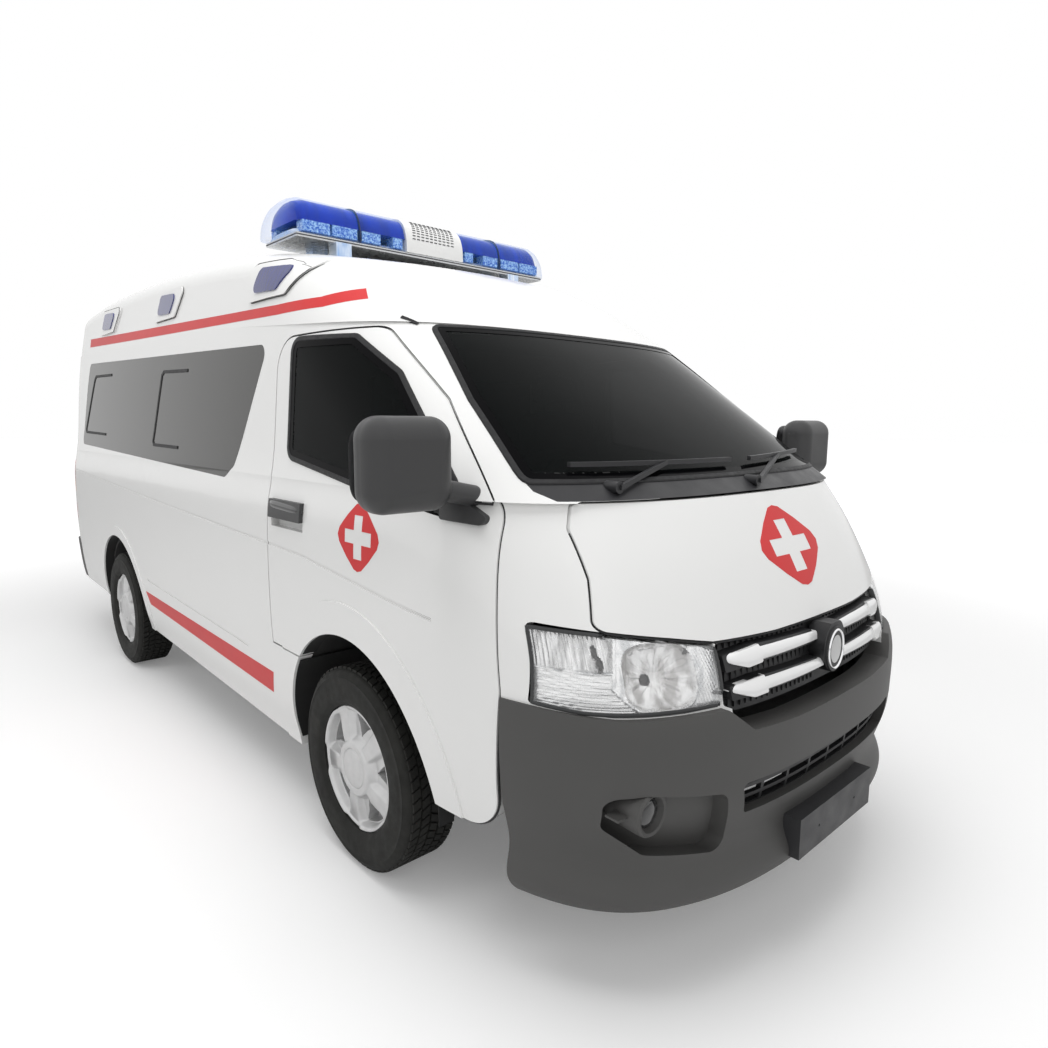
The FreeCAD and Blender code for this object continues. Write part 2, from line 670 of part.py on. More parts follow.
def plate_bracket():
    """A blank number plate holder on the bumper's front."""
    plate = box((PLATE_FRONT_X - PLATE_DEPTH - BUMPER_WALL, -PLATE_WIDTH / 2, PLATE_FOOT),
                (PLATE_FRONT_X, PLATE_WIDTH / 2, PLATE_FOOT + PLATE_HEIGHT))
    plate = plate.cut(BUMPER_HULL)
    for side in (-1, 1):
        start = Vector(PLATE_FRONT_X - PLATE_DEPTH, side * PLATE_BOLT_SPACING / 2, PLATE_FOOT + PLATE_HEIGHT / 2)
        plate = plate.cut(rod(start, start + Vector(PLATE_DEPTH + OVERRUN, 0, 0), PLATE_BOLT_HOLE / 2))
    return largest(plate)


def fog_lamps():
    y, z = y_at(FOG_LAMP_SHARES[0]), z_at(FOG_LAMP_SHARES[1])
    probe = line_edge(Vector(0, y, z), Vector(LENGTH, y, z)).common(bumper_inset(FOG_POCKET_DEPTH))
    seat = max(v.Point.x for v in probe.Vertexes)
    lamp = rod(Vector(seat - BUMPER_WALL, y, z), Vector(seat + FOG_LAMP_DEPTH, y, z), FOG_LAMP_DIAMETER / 2)
    lamp = largest(lamp.cut(bumper_inset(FOG_POCKET_DEPTH)))
    return Part.makeCompound([lamp, mirrored(lamp)])


def headlamps():
    lamp = HULL.cut(NOSE_HULL).common(lamp_prism(-FIT))
    lamp = largest(lamp.cut(bonnet_prism(BONNET_FOOT_GAP)))
    return Part.makeCompound([lamp, mirrored(lamp)])


# Rear end

REAR_BUMPER_HIGH = 600.0
REAR_BUMPER_LOW = 345.0
REAR_BUMPER_FRONT_X = -2190.0
TAILGATE_GAP_FOOT = 606.0


def rear_bumper():
    """Wraps the tail below the tailgate."""
    outer = sliced_solid(LOWER_SLICE_SHARES, NOSE_DEPTH_LOW, -HALF_LENGTH, 0.0)
    zone = box((-HALF_LENGTH, -WIDTH, REAR_BUMPER_LOW), (REAR_BUMPER_FRONT_X, WIDTH, REAR_BUMPER_HIGH))
    return largest(outer.common(zone).cut(HULL))


def tailgate_parts():
    zone = box((-REACH, -WIDTH, TAILGATE_GAP_FOOT), (0, WIDTH, REACH))
    skin = WALLS.common(front_prism(TAILGATE_SHARES, TAILGATE_CORNER, -HALF_LENGTH - OVERRUN,
                                    TAIL_X + TAILGATE_DEPTH)).common(zone)

    def tail_window(growth):
        return front_prism(TAIL_WINDOW_SHARES, TAIL_WINDOW_CORNER, -HALF_LENGTH - OVERRUN, 0, growth)

    skin = skin.cut(tail_window(0.0).cut(PANE_HULL)).cut(tail_window(-GLASS_LAP))
    pane = HULL.cut(PANE_HULL).common(tail_window(-FIT)).common(box((-REACH, -WIDTH, 0), (0, WIDTH, REACH)))
    return {"tailgate": largest(skin), "tailgate_glass": largest(pane)}


def tail_lamps():
    lamp = largest(WALLS.common(front_prism(TAIL_LAMP_SHARES, TAILGATE_CORNER / 2 - FIT,
                                            -HALF_LENGTH - OVERRUN, TAIL_LAMP_X - FIT, -FIT)))
    return Part.makeCompound([lamp, mirrored(lamp)])


# Front doors


def door_window(growth):
    return side_prism(DOOR_WINDOW_SHARES, DOOR_WINDOW_CORNER, RIGHT_LOW, RIGHT_HIGH / 2, growth)


HANDLE_SHARES = (0.383, 0.511)
HANDLE_LENGTH = 235.0
HANDLE_HEIGHT = 62.0
HANDLE_RECESS = 26.0
HANDLE_PROUD = 14.0
MIRROR_CENTRE = Vector(1800.0, -952.0, 1272.0)
MIRROR_WIDTH = 228.0
MIRROR_HEIGHT = 218.0
MIRROR_DEPTH = 120.0
MIRROR_CORNER = 52.0
MIRROR_ARM_RADIUS = 26.0
MIRROR_FOOT_SHARE = 0.86
MIRROR_BASE_SHARES = ((0.702, 0.592), (0.742, 0.560), (0.793, 0.531), (0.720, 0.535))
MIRROR_BASE_DEPTH = 12.0


def door():
    """The right front door, with its window and the recess behind the handle."""
    half_space = box((-REACH, -WIDTH, 0), (REACH, 0, REACH))
    panel = WALLS.common(door_prism(RIGHT_LOW, RIGHT_HIGH, 0.0)).common(half_space)
    panel = largest(window_cut(panel, door_window))
    x, z = x_at(HANDLE_SHARES[0]), z_at(HANDLE_SHARES[1])
    recess = box((x - HANDLE_LENGTH / 2, -WIDTH, z - HANDLE_HEIGHT),
                 (x + HANDLE_LENGTH / 2, 0, z + HANDLE_HEIGHT / 2))
    return panel.cut(recess.cut(body_hull(HANDLE_RECESS)))


def door_fittings():
    """Mirror with its arm and base, and the outer handle."""
    centre = MIRROR_CENTRE
    low = (centre.x - MIRROR_DEPTH / 2, centre.y - MIRROR_WIDTH / 2, centre.z - MIRROR_HEIGHT / 2)
    high = (centre.x + MIRROR_DEPTH / 2, centre.y + MIRROR_WIDTH / 2, centre.z + MIRROR_HEIGHT / 2)
    head = soft_box(low, high, MIRROR_CORNER)
    base = side_prism(MIRROR_BASE_SHARES, MIRROR_BASE_DEPTH, RIGHT_LOW, RIGHT_HIGH / 2)
    outside = body_hull(-MIRROR_BASE_DEPTH).common(box((0, -WIDTH, 0), (LENGTH, 0, REACH)))
    base = base.common(outside).cut(HULL)
    foot_x = x_at(MIRROR_BASE_SHARES[1][0])
    foot_z = z_at(MIRROR_BASE_SHARES[1][1])
    arm = rod(Vector(foot_x + MIRROR_ARM_RADIUS, -y_at(MIRROR_FOOT_SHARE), foot_z),
              Vector(centre.x, high[1] - MIRROR_CORNER, centre.z - MIRROR_HEIGHT / 4), MIRROR_ARM_RADIUS)
    mirror = fused([head, base, arm.cut(HULL)])
    x, z = x_at(HANDLE_SHARES[0]), z_at(HANDLE_SHARES[1])
    grip = box((x - HANDLE_LENGTH / 2, -WIDTH, z - HANDLE_HEIGHT / 2),
               (x + HANDLE_LENGTH / 2, -y_at(FENDER_INNER_SHARE), z + HANDLE_HEIGHT / 2))
    grip = grip.common(body_hull(-HANDLE_PROUD)).cut(body_hull(HANDLE_RECESS))
    grip = grip.common(box((x - HANDLE_LENGTH / 2 + FIT, -WIDTH, z - HANDLE_HEIGHT / 2),
                           (x + HANDLE_LENGTH / 2 - FIT, 0, z + HANDLE_HEIGHT / 2 - FIT)))
    return Part.makeCompound([largest(mirror), largest(grip)])


def door_parts():
    right = door()
    pane = largest(window_pane(door_window).common(box((-REACH, -WIDTH, 0), (REACH, 0, REACH))))
    fittings = door_fittings()
    pane = pane.cut(fittings)
    return {
        "door_right": right, "door_left": mirrored(right),
        "door_glass_right": pane, "door_glass_left": mirrored(pane),
        "door_fittings_right": fittings, "door_fittings_left": mirrored(fittings),
    }


# Roof cap with lamps

def roof_cap():
    shell = CAP.cut(cap_solid(CAP_SHEET)).cut(BELOW_LEDGE)
    return largest(shell)


LIGHTBAR_X = 495.0
LIGHTBAR_LENGTH = 1300.0
LIGHTBAR_DEPTH = 300.0
LIGHTBAR_FOOT_Z = 2052.0
LIGHTBAR_TRAY = 34.0
LIGHTBAR_TOP = 2215.0
LIGHTBAR_CENTRE = 285.0
LIGHTBAR_ROUND = 30.0
LIGHTBAR_FOOT_Y = 455.0
LIGHTBAR_FOOT_LENGTH = 90.0
LIGHTBAR_FOOT_WIDTH = 180.0
LIGHTBAR_END_SLOPE_SHARE = 0.16
LIGHTBAR_LEAN_SHARE = 0.84
LIGHTBAR_TIP_SHARE = 0.62


def lightbar_section(y, scale):
    """Profile of the lamp housing: flat foot, leaning sides, rounded top."""
    half = LIGHTBAR_DEPTH / 2 * scale
    low = LIGHTBAR_FOOT_Z + LIGHTBAR_TRAY
    height = (LIGHTBAR_TOP - low) * scale
    points = [Vector(LIGHTBAR_X - half, y, low), Vector(LIGHTBAR_X - half * LIGHTBAR_LEAN_SHARE, y, low + height),
              Vector(LIGHTBAR_X + half * LIGHTBAR_LEAN_SHARE, y, low + height), Vector(LIGHTBAR_X + half, y, low)]
    return points


def lightbar_parts():
    half = LIGHTBAR_LENGTH / 2
    tip = LIGHTBAR_LENGTH * LIGHTBAR_END_SLOPE_SHARE / 2
    tray = box((LIGHTBAR_X - LIGHTBAR_DEPTH / 2, -half + tip, LIGHTBAR_FOOT_Z),
               (LIGHTBAR_X + LIGHTBAR_DEPTH / 2, half - tip, LIGHTBAR_FOOT_Z + LIGHTBAR_TRAY))
    feet = []
    for side in (-1, 1):
        y = side * LIGHTBAR_FOOT_Y
        block = box((LIGHTBAR_X - LIGHTBAR_FOOT_WIDTH / 2, y - LIGHTBAR_FOOT_LENGTH / 2,
                     LIGHTBAR_FOOT_Z - LIGHTBAR_FOOT_LENGTH),
                    (LIGHTBAR_X + LIGHTBAR_FOOT_WIDTH / 2, y + LIGHTBAR_FOOT_LENGTH / 2, LIGHTBAR_FOOT_Z))
        feet.append(largest(block.cut(CAP)))
    base = fused([tray] + feet)
    middle = LIGHTBAR_CENTRE / 2
    centre = prism_of(lightbar_section(-middle, 1.0), LIGHTBAR_ROUND, 0.0, Vector(0, LIGHTBAR_CENTRE, 0))
    body = prism_of(lightbar_section(-half + tip, 1.0), LIGHTBAR_ROUND, 0.0,
                    Vector(0, half - tip - middle - FIT, 0))
    inner_end = rounded_wire(lightbar_section(-half + tip, 1.0), LIGHTBAR_ROUND)
    outer_end = rounded_wire(lightbar_section(-half, LIGHTBAR_TIP_SHARE), LIGHTBAR_ROUND * LIGHTBAR_TIP_SHARE)
    end_cap = Part.makeLoft([outer_end, inner_end], True, True)
    lens = fused([body, end_cap])
    return {
        "lightbar_base": base,
        "lightbar_centre": centre,
        "lightbar_lenses": Part.makeCompound([lens, mirrored(lens)]),
    }


POD_OUTLINE_SHARES = ((-0.44, 0.46), (0.60, 0.38), (0.34, -0.47), (-0.44, -0.47))
POD_LENS_SHARES = ((-0.254, 0.33), (0.335, 0.24), (0.173, -0.33), (-0.335, -0.27))
POD_LENGTH = 370.0
POD_HEIGHT = 150.0
POD_CORNER = 24.0
POD_PROUD = 9.0
POD_LENS_PROUD = 14.0
POD_PLACE_SHARES = ((0.269, 0.8835), (-0.208, 0.903), (-0.653, 0.916))


def pod_prism(centre_x, centre_z, shares):
    points = [Vector(centre_x + u * POD_LENGTH, RIGHT_LOW, centre_z + v * POD_HEIGHT) for u, v in shares]
    return prism_of(points, POD_CORNER, 0.0, Vector(0, RIGHT_HIGH - RIGHT_LOW, 0))


def roof_side_lamps():
    """Three lamps along each side of the roof cap, each a lens framed by a raised housing."""
    housings, lenses = [], []
    housing_layer = cap_solid(-POD_PROUD).cut(CAP)
    lens_layer = cap_solid(-POD_LENS_PROUD).cut(CAP)
    for along, up in POD_PLACE_SHARES:
        x, z = x_at(along), z_at(up)
        lens_prism = pod_prism(x, z, POD_LENS_SHARES)
        lens = largest(lens_layer.common(lens_prism))
        housing = largest(housing_layer.common(pod_prism(x, z, POD_OUTLINE_SHARES)).cut(lens_prism))
        housings += [housing, mirrored(housing)]
        lenses += [lens, mirrored(lens)]
    return {"roof_lamp_housings": Part.makeCompound(housings), "roof_lamp_lenses": Part.makeCompound(lenses)}


# Floor pan with rails, wheel wells, seat base, footwell, firewall and hinge pillars

FLOOR_TOP = 600.0
FLOOR_SHEET = 36.0
FLOOR_REAR_X = TAIL_X + WALL + SHUT_GAP
SEAT_BASE_REAR_X = 790.0
SEAT_BASE_FRONT_X = 1640.0
SEAT_BASE_TOP = 860.0
SEAT_BASE_SHEET = 20.0
FOOTWELL_TOP = 440.0
FIREWALL_X = 1925.0
FIREWALL_TOP = 1186.0
HINGE_PILLAR_LENGTH = 90.0
HINGE_PILLAR_INNER_Y = 656.0
RAIL_Y = 470.0
RAIL_WIDTH = 70.0
RAIL_DEPTH = 120.0
REAR_PANEL_FOOT = 400.0
REAR_WELL_INNER_Y = 560.0
FRONT_WELL_INNER_Y = 425.0
FRONT_WELL_FOOT = 470.0
REAR_WELL_FOOT = 450.0
REAR_WELL_RADIUS = TYRE_RADIUS + 76.0
FRONT_WELL_RADIUS = ARCH_RADIUS


def cab_floor():
    """Seat platform, footwell and firewall: bent sheets seen through the doors and windscreen."""
    low = FOOTWELL_TOP - SEAT_BASE_SHEET
    platform = box((SEAT_BASE_REAR_X, -WIDTH, FLOOR_TOP - FLOOR_SHEET),
                   (SEAT_BASE_FRONT_X, WIDTH, SEAT_BASE_TOP))
    under_platform = box((SEAT_BASE_REAR_X + SEAT_BASE_SHEET, -WIDTH, 0),
                         (SEAT_BASE_FRONT_X - SEAT_BASE_SHEET, WIDTH, SEAT_BASE_TOP - SEAT_BASE_SHEET))
    front_plate = box((SEAT_BASE_FRONT_X - SEAT_BASE_SHEET, -WIDTH, low),
                      (SEAT_BASE_FRONT_X, WIDTH, SEAT_BASE_TOP))
    footwell = box((SEAT_BASE_FRONT_X - SEAT_BASE_SHEET, -WIDTH, low), (FIREWALL_X, WIDTH, FOOTWELL_TOP))
    firewall = box((FIREWALL_X, -WIDTH, low), (FIREWALL_X + SEAT_BASE_SHEET, WIDTH, FIREWALL_TOP))
    return fused([platform.cut(under_platform), front_plate, footwell, firewall]).common(INTERIOR_SPACE)


def hinge_pillar():
    """The right post that carries the front door and meets the fender above the lamp."""
    post = box((FIREWALL_X, -WIDTH, FOOTWELL_TOP - SEAT_BASE_SHEET),
               (FIREWALL_X + HINGE_PILLAR_LENGTH, -HINGE_PILLAR_INNER_Y, FIREWALL_TOP))
    behind_door = post.common(INTERIOR_SPACE).common(box((0, -WIDTH, 0), (BUMPER_REAR_X, 0, REACH)))
    above_lamp = box((BUMPER_REAR_X, -WIDTH, z_at(LAMP_SHARES[0][1]) + SHUT_GAP), (LENGTH, 0, REACH))
    return behind_door.fuse(post.common(CABIN_SPACE).common(above_lamp))


def rear_panel():
    """Closes the tail between the body sides, under the tailgate and behind the bumper."""
    half = y_at(TAILGATE_SHARES[2][0])
    return box((TAIL_X + FIT, -half, REAR_PANEL_FOOT), (FLOOR_REAR_X + FIT, half, FLOOR_TOP - SHUT_GAP))


def wheel_well(axle_x, radius, inner_y, foot):
    """The right wheel house: an arched sheet with a closed inner wall."""
    sheet = disc(axle_x, TYRE_RADIUS, radius + WELL_SHEET, -HALF_WIDTH, WELL_SHEET - inner_y)
    sheet = sheet.common(box((-REACH, -WIDTH, foot), (REACH, 0, REACH)))
    return sheet, disc(axle_x, TYRE_RADIUS, radius, -WIDTH, -inner_y)


def floor_parts():
    """The load floor and the cab floor, which meet behind the front seats."""
    slab = box((FLOOR_REAR_X, -WIDTH, FLOOR_TOP - FLOOR_SHEET), (SEAT_BASE_REAR_X, WIDTH, FLOOR_TOP))
    rail = box((FLOOR_REAR_X, -RAIL_Y - RAIL_WIDTH / 2, FLOOR_TOP - FLOOR_SHEET - RAIL_DEPTH),
               (SEAT_BASE_REAR_X + SEAT_BASE_SHEET, -RAIL_Y + RAIL_WIDTH / 2, FLOOR_TOP - FLOOR_SHEET))
    front_well, front_hollow = wheel_well(FRONT_AXLE_X, FRONT_WELL_RADIUS, FRONT_WELL_INNER_Y, FRONT_WELL_FOOT)
    rear_well, rear_hollow = wheel_well(REAR_AXLE_X, REAR_WELL_RADIUS, REAR_WELL_INNER_Y, REAR_WELL_FOOT)
    sheets = [slab, rail, mirrored(rail), front_well, mirrored(front_well), rear_well, mirrored(rear_well)]
    pan = fused(sheets).common(CABIN_SPACE)
    post = hinge_pillar()
    pan = pan.multiFuse([cab_floor(), post, mirrored(post), rear_panel()])
    for hollow in (front_hollow, mirrored(front_hollow), rear_hollow, mirrored(rear_hollow)):
        pan = pan.cut(hollow)
    pan = pan.removeSplitter()
    behind = box((-REACH, -WIDTH, 0), (SEAT_BASE_REAR_X, WIDTH, REACH))
    return {"floor_pan": largest(pan.common(behind)), "cab_floor": largest(pan.cut(behind))}


# Cab and cabin fittings

SEAT_WIDTH = 470.0
SEAT_Y = 380.0
SEAT_CUSHION_LENGTH = 480.0
SEAT_CUSHION_DEPTH = 130.0
SEAT_REAR_X = 985.0
SEAT_BACK_THICKNESS = 110.0
SEAT_BACK_HEIGHT = 560.0
SEAT_BACK_LEAN = 95.0
SEAT_ROUND = 30.0
HEADREST_WIDTH = 250.0
HEADREST_HEIGHT = 150.0
HEADREST_RISE = 50.0
DRIVER_Y = -SEAT_Y
DASH_SHARES = ((0.0, 0.0), (0.62, 0.0), (0.72, 0.42), (1.0, 0.70), (0.90, 0.93), (0.52, 1.04), (0.0, 1.0))
DASH_DEPTH = 270.0
DASH_LOW = 800.0
DASH_ROUND = 30.0
DASH_SHELF = 18.0
DASH_END_Y = 700.0
STEERING_CENTRE = Vector(1592.0, DRIVER_Y, 1168.0)
STEERING_RADIUS = 190.0
STEERING_RIM = 15.0
STEERING_TILT = 50.0
COLUMN_RADIUS = 30.0
COLUMN_LENGTH = 420.0
COLUMN_GAP = 6.0
HUB_RADIUS = 62.0
HUB_DEPTH = 46.0
SPOKE_DEPTH = 18.0
STEERING_SPOKE_ANGLES = (0.0, 90.0, 180.0)
PARTITION_X = 745.0
PARTITION_SHEET = 22.0
PARTITION_TOP = 1668.0
PARTITION_WINDOW = (-420.0, 420.0, 1180.0, 1540.0)
WALL_LINE_Y = 735.0
BENCH_LENGTH = 1250.0
BENCH_DEPTH = 430.0
BENCH_HEIGHT = 420.0
BENCH_REAR_X = -820.0
CABINET_LENGTH = 950.0
CABINET_DEPTH = 330.0
CABINET_HEIGHT = 780.0
CABINET_REAR_X = -2050.0


def seat(y):
    """Cushion, reclined back and headrest, as one closed form."""
    low_z = SEAT_BASE_TOP
    cushion = soft_box((SEAT_REAR_X, y - SEAT_WIDTH / 2, low_z),
                       (SEAT_REAR_X + SEAT_CUSHION_LENGTH, y + SEAT_WIDTH / 2, low_z + SEAT_CUSHION_DEPTH), SEAT_ROUND)
    top_z = low_z + SEAT_BACK_HEIGHT
    points = [Vector(SEAT_REAR_X, y - SEAT_WIDTH / 2, low_z + SEAT_ROUND),
              Vector(SEAT_REAR_X + SEAT_BACK_THICKNESS, y - SEAT_WIDTH / 2, low_z + SEAT_ROUND),
              Vector(SEAT_REAR_X + SEAT_BACK_THICKNESS - SEAT_BACK_LEAN, y - SEAT_WIDTH / 2, top_z),
              Vector(SEAT_REAR_X - SEAT_BACK_LEAN, y - SEAT_WIDTH / 2, top_z)]
    back = prism_of(points, SEAT_ROUND, 0.0, Vector(0, SEAT_WIDTH, 0))
    head_x = SEAT_REAR_X - SEAT_BACK_LEAN
    head = soft_box((head_x, y - HEADREST_WIDTH / 2, top_z - HEADREST_RISE / 2),
                    (head_x + SEAT_BACK_THICKNESS, y + HEADREST_WIDTH / 2, top_z + HEADREST_HEIGHT), SEAT_ROUND)
    return cushion.multiFuse([back, head])


def front_seats():
    return Part.makeCompound([seat(-SEAT_Y), seat(SEAT_Y)])


def dashboard():
    """The moulded fascia, with a shelf that runs forward to the foot of the windscreen."""
    height = FIREWALL_TOP - DASH_LOW
    points = [Vector(FIREWALL_X - u * DASH_DEPTH, -DASH_END_Y, DASH_LOW + v * height) for u, v in DASH_SHARES]
    fascia = prism_of(points, DASH_ROUND, 0.0, Vector(0, 2 * DASH_END_Y, 0))
    shelf = box((FIREWALL_X - DASH_DEPTH / 2, -DASH_END_Y, FIREWALL_TOP),
                (LENGTH, DASH_END_Y, FIREWALL_TOP + DASH_SHELF))
    return largest(fascia.fuse(shelf).removeSplitter().common(INTERIOR_SPACE))


def steering_way():
    """Direction along the column, up and back towards the driver."""
    tilt = math.radians(STEERING_TILT)
    return Vector(-math.cos(tilt), 0, math.sin(tilt))


def steering_wheel():
    up = steering_way()
    centre = STEERING_CENTRE
    rim = Part.makeTorus(STEERING_RADIUS - STEERING_RIM, STEERING_RIM, centre, up)
    hub = Part.makeCylinder(HUB_RADIUS, HUB_DEPTH, centre.sub(up * HUB_DEPTH), up)
    spokes = []
    across = Vector(0, 1, 0)
    down = across.cross(up)
    for angle in STEERING_SPOKE_ANGLES:
        way = across * math.cos(math.radians(angle)) + down * math.sin(math.radians(angle))
        root = centre.sub(up * SPOKE_DEPTH)
        tip = centre + way * (STEERING_RADIUS - STEERING_RIM)
        spokes.append(rod(root, tip, SPOKE_DEPTH / 2))
    return fused([rim, hub] + spokes)


def steering_column(dash):
    up = steering_way()
    top = STEERING_CENTRE.sub(up * (HUB_DEPTH + COLUMN_GAP))
    return largest(rod(top, top.sub(up * COLUMN_LENGTH), COLUMN_RADIUS).cut(dash).common(
        box((0, -WIDTH, DASH_LOW), (LENGTH, WIDTH, REACH))))


def partition():
    low_y, high_y, low_z, high_z = PARTITION_WINDOW
    sheet = box((PARTITION_X, -WIDTH, FLOOR_TOP), (PARTITION_X + PARTITION_SHEET, WIDTH, PARTITION_TOP))
    window = box((PARTITION_X - OVERRUN, low_y, low_z), (PARTITION_X + OVERRUN, high_y, high_z))
    return largest(sheet.common(CABIN_SPACE).cut(window))


def bench_seat():
    """The attendant's bench along the left wall, ahead of the wheel well."""
    return soft_box((BENCH_REAR_X, WALL_LINE_Y - BENCH_DEPTH, FLOOR_TOP),
                    (BENCH_REAR_X + BENCH_LENGTH, WALL_LINE_Y, FLOOR_TOP + BENCH_HEIGHT), SEAT_ROUND / 2)


def cabinet():
    """The equipment cabinet on the right wall, on top of the wheel well."""
    foot_z = TYRE_RADIUS + REAR_WELL_RADIUS + WELL_SHEET
    block = box((CABINET_REAR_X, -WALL_LINE_Y, foot_z),
                (CABINET_REAR_X + CABINET_LENGTH, -WALL_LINE_Y + CABINET_DEPTH, foot_z + CABINET_HEIGHT))
    plinth = box((CABINET_REAR_X, -REAR_WELL_INNER_Y + WELL_SHEET + FIT, FLOOR_TOP),
                 (CABINET_REAR_X + CABINET_LENGTH, -WALL_LINE_Y + CABINET_DEPTH, foot_z))
    return fused([block, plinth])


# Underbody

ENGINE_WIDTH = 520.0
ENGINE_REAR_X = 812.0
ENGINE_FRONT_X = 1480.0
SUBFRAME_LOW = 262.0
SUBFRAME_DEPTH = 60.0
ENGINE_LOW = SUBFRAME_LOW + SUBFRAME_DEPTH
ENGINE_TOP = 800.0
ENGINE_BEVEL = 50.0
PROPSHAFT_RADIUS = 36.0
PROPSHAFT_FRONT_Z = 450.0
AXLE_TUBE_RADIUS = 42.0
AXLE_BOWL_RADIUS = 135.0
AXLE_SPINDLE_RADIUS = 28.0
HUB_FACE_Y = WHEEL_Y - RIM_WIDTH / 2
SPINDLE_TIP_Y = WHEEL_Y + 20.0
LEAF_HALF_LENGTH = 560.0
LEAF_WIDTH = 60.0
LEAF_THICKNESS = 28.0
LEAF_RISE = 50.0
SUBFRAME_LENGTH = 150.0
SUBFRAME_HALF_WIDTH = 390.0
ARM_RADIUS = 20.0
KINGPIN_Y = 618.0
KNUCKLE_HALF_HEIGHT = 96.0
KNUCKLE_WIDTH = 52.0
KNUCKLE_LENGTH = 70.0
TOWER_WIDTH = 30.0
ARM_SPREAD = 122.0
ARM_END_GAP = 6.0
PIN_RADIUS = 12.0
PIN_DEPTH = 18.0
EXHAUST_RADIUS = 26.0
EXHAUST_Y = 250.0
EXHAUST_Z = 345.0
SILENCER_RADIUS = 82.0
SILENCER_LENGTH = 560.0
SILENCER_REAR_X = -700.0
EXHAUST_TIP_X = -2330.0
TANK_LENGTH = 720.0
TANK_WIDTH = 330.0
TANK_DEPTH = 230.0
TANK_REAR_X = -560.0
TANK_Y = -240.0


def engine():
    block = box((ENGINE_REAR_X, -ENGINE_WIDTH / 2, ENGINE_LOW), (ENGINE_FRONT_X, ENGINE_WIDTH / 2, ENGINE_TOP))
    return block.makeChamfer(ENGINE_BEVEL, block.Edges)


def propshaft():
    start = Vector(ENGINE_REAR_X, 0, PROPSHAFT_FRONT_Z)
    end = Vector(REAR_AXLE_X, 0, TYRE_RADIUS)
    return rod(start, end, PROPSHAFT_RADIUS).cut(Part.makeSphere(AXLE_BOWL_RADIUS + FIT, end)).cut(engine())


def rear_axle():
    """A live axle: tube, final drive bowl and a spindle for each wheel."""
    tube = rod(Vector(REAR_AXLE_X, -HUB_FACE_Y + ARM_END_GAP, TYRE_RADIUS),
               Vector(REAR_AXLE_X, HUB_FACE_Y - ARM_END_GAP, TYRE_RADIUS), AXLE_TUBE_RADIUS)
    spindle = rod(Vector(REAR_AXLE_X, -SPINDLE_TIP_Y, TYRE_RADIUS),
                  Vector(REAR_AXLE_X, SPINDLE_TIP_Y, TYRE_RADIUS), AXLE_SPINDLE_RADIUS)
    bowl = Part.makeSphere(AXLE_BOWL_RADIUS, Vector(REAR_AXLE_X, 0, TYRE_RADIUS))
    return fused([tube, spindle, bowl])


def leaf_spring(y):
    """A curved leaf pack that rests on the axle tube and reaches up to the rail at its ends."""
    low = TYRE_RADIUS + AXLE_TUBE_RADIUS + FIT
    left, right = REAR_AXLE_X - LEAF_HALF_LENGTH, REAR_AXLE_X + LEAF_HALF_LENGTH

    def leaf_arc(height):
        return Part.Arc(Vector(left, y, height + LEAF_RISE), Vector(REAR_AXLE_X, y, height),
                        Vector(right, y, height + LEAF_RISE)).toShape()

    lower, upper = leaf_arc(low), leaf_arc(low + LEAF_THICKNESS)
    end_low, end_high = low + LEAF_RISE, low + LEAF_RISE + LEAF_THICKNESS
    wire = Part.Wire([lower, line_edge(Vector(right, y, end_low), Vector(right, y, end_high)),
                      upper, line_edge(Vector(left, y, end_high), Vector(left, y, end_low))])
    pack = Part.Face(wire).extrude(Vector(0, LEAF_WIDTH, 0))
    rail_foot = FLOOR_TOP - FLOOR_SHEET - RAIL_DEPTH
    hangers = [box((x - LEAF_WIDTH / 2, y, low + LEAF_RISE), (x + LEAF_WIDTH / 2, y + LEAF_WIDTH, rail_foot - FIT))
               for x in (left + LEAF_WIDTH, right - LEAF_WIDTH)]
    return fused([pack] + hangers)


def leaf_springs():
    spring = leaf_spring(RAIL_Y - LEAF_WIDTH / 2)
    return Part.makeCompound([spring, mirrored(spring)])


def front_subframe():
    """Crossmember under the engine with two short arms to each knuckle."""
    beam = box((FRONT_AXLE_X - SUBFRAME_LENGTH / 2, -SUBFRAME_HALF_WIDTH, SUBFRAME_LOW),
               (FRONT_AXLE_X + SUBFRAME_LENGTH / 2, SUBFRAME_HALF_WIDTH, SUBFRAME_LOW + SUBFRAME_DEPTH))
    pieces = [beam]
    tower_foot = TYRE_RADIUS - ARM_SPREAD - ARM_RADIUS
    for side in (-1, 1):
        y = side * SUBFRAME_HALF_WIDTH
        pieces.append(box((FRONT_AXLE_X - SUBFRAME_LENGTH / 2, y - TOWER_WIDTH / 2, tower_foot),
                          (FRONT_AXLE_X + SUBFRAME_LENGTH / 2, y + TOWER_WIDTH / 2, SEAT_BASE_TOP - SEAT_BASE_SHEET)))
        for z in (TYRE_RADIUS - ARM_SPREAD, TYRE_RADIUS + ARM_SPREAD):
            arm_end = Vector(FRONT_AXLE_X, side * KINGPIN_Y, z)
            pin_foot = z - math.copysign(ARM_SPREAD - KNUCKLE_HALF_HEIGHT + PIN_DEPTH, z - TYRE_RADIUS)
            pieces.append(rod(Vector(FRONT_AXLE_X, y, z), arm_end, ARM_RADIUS))
            pieces.append(rod(arm_end, Vector(arm_end.x, arm_end.y, pin_foot), PIN_RADIUS))
    return fused(pieces)


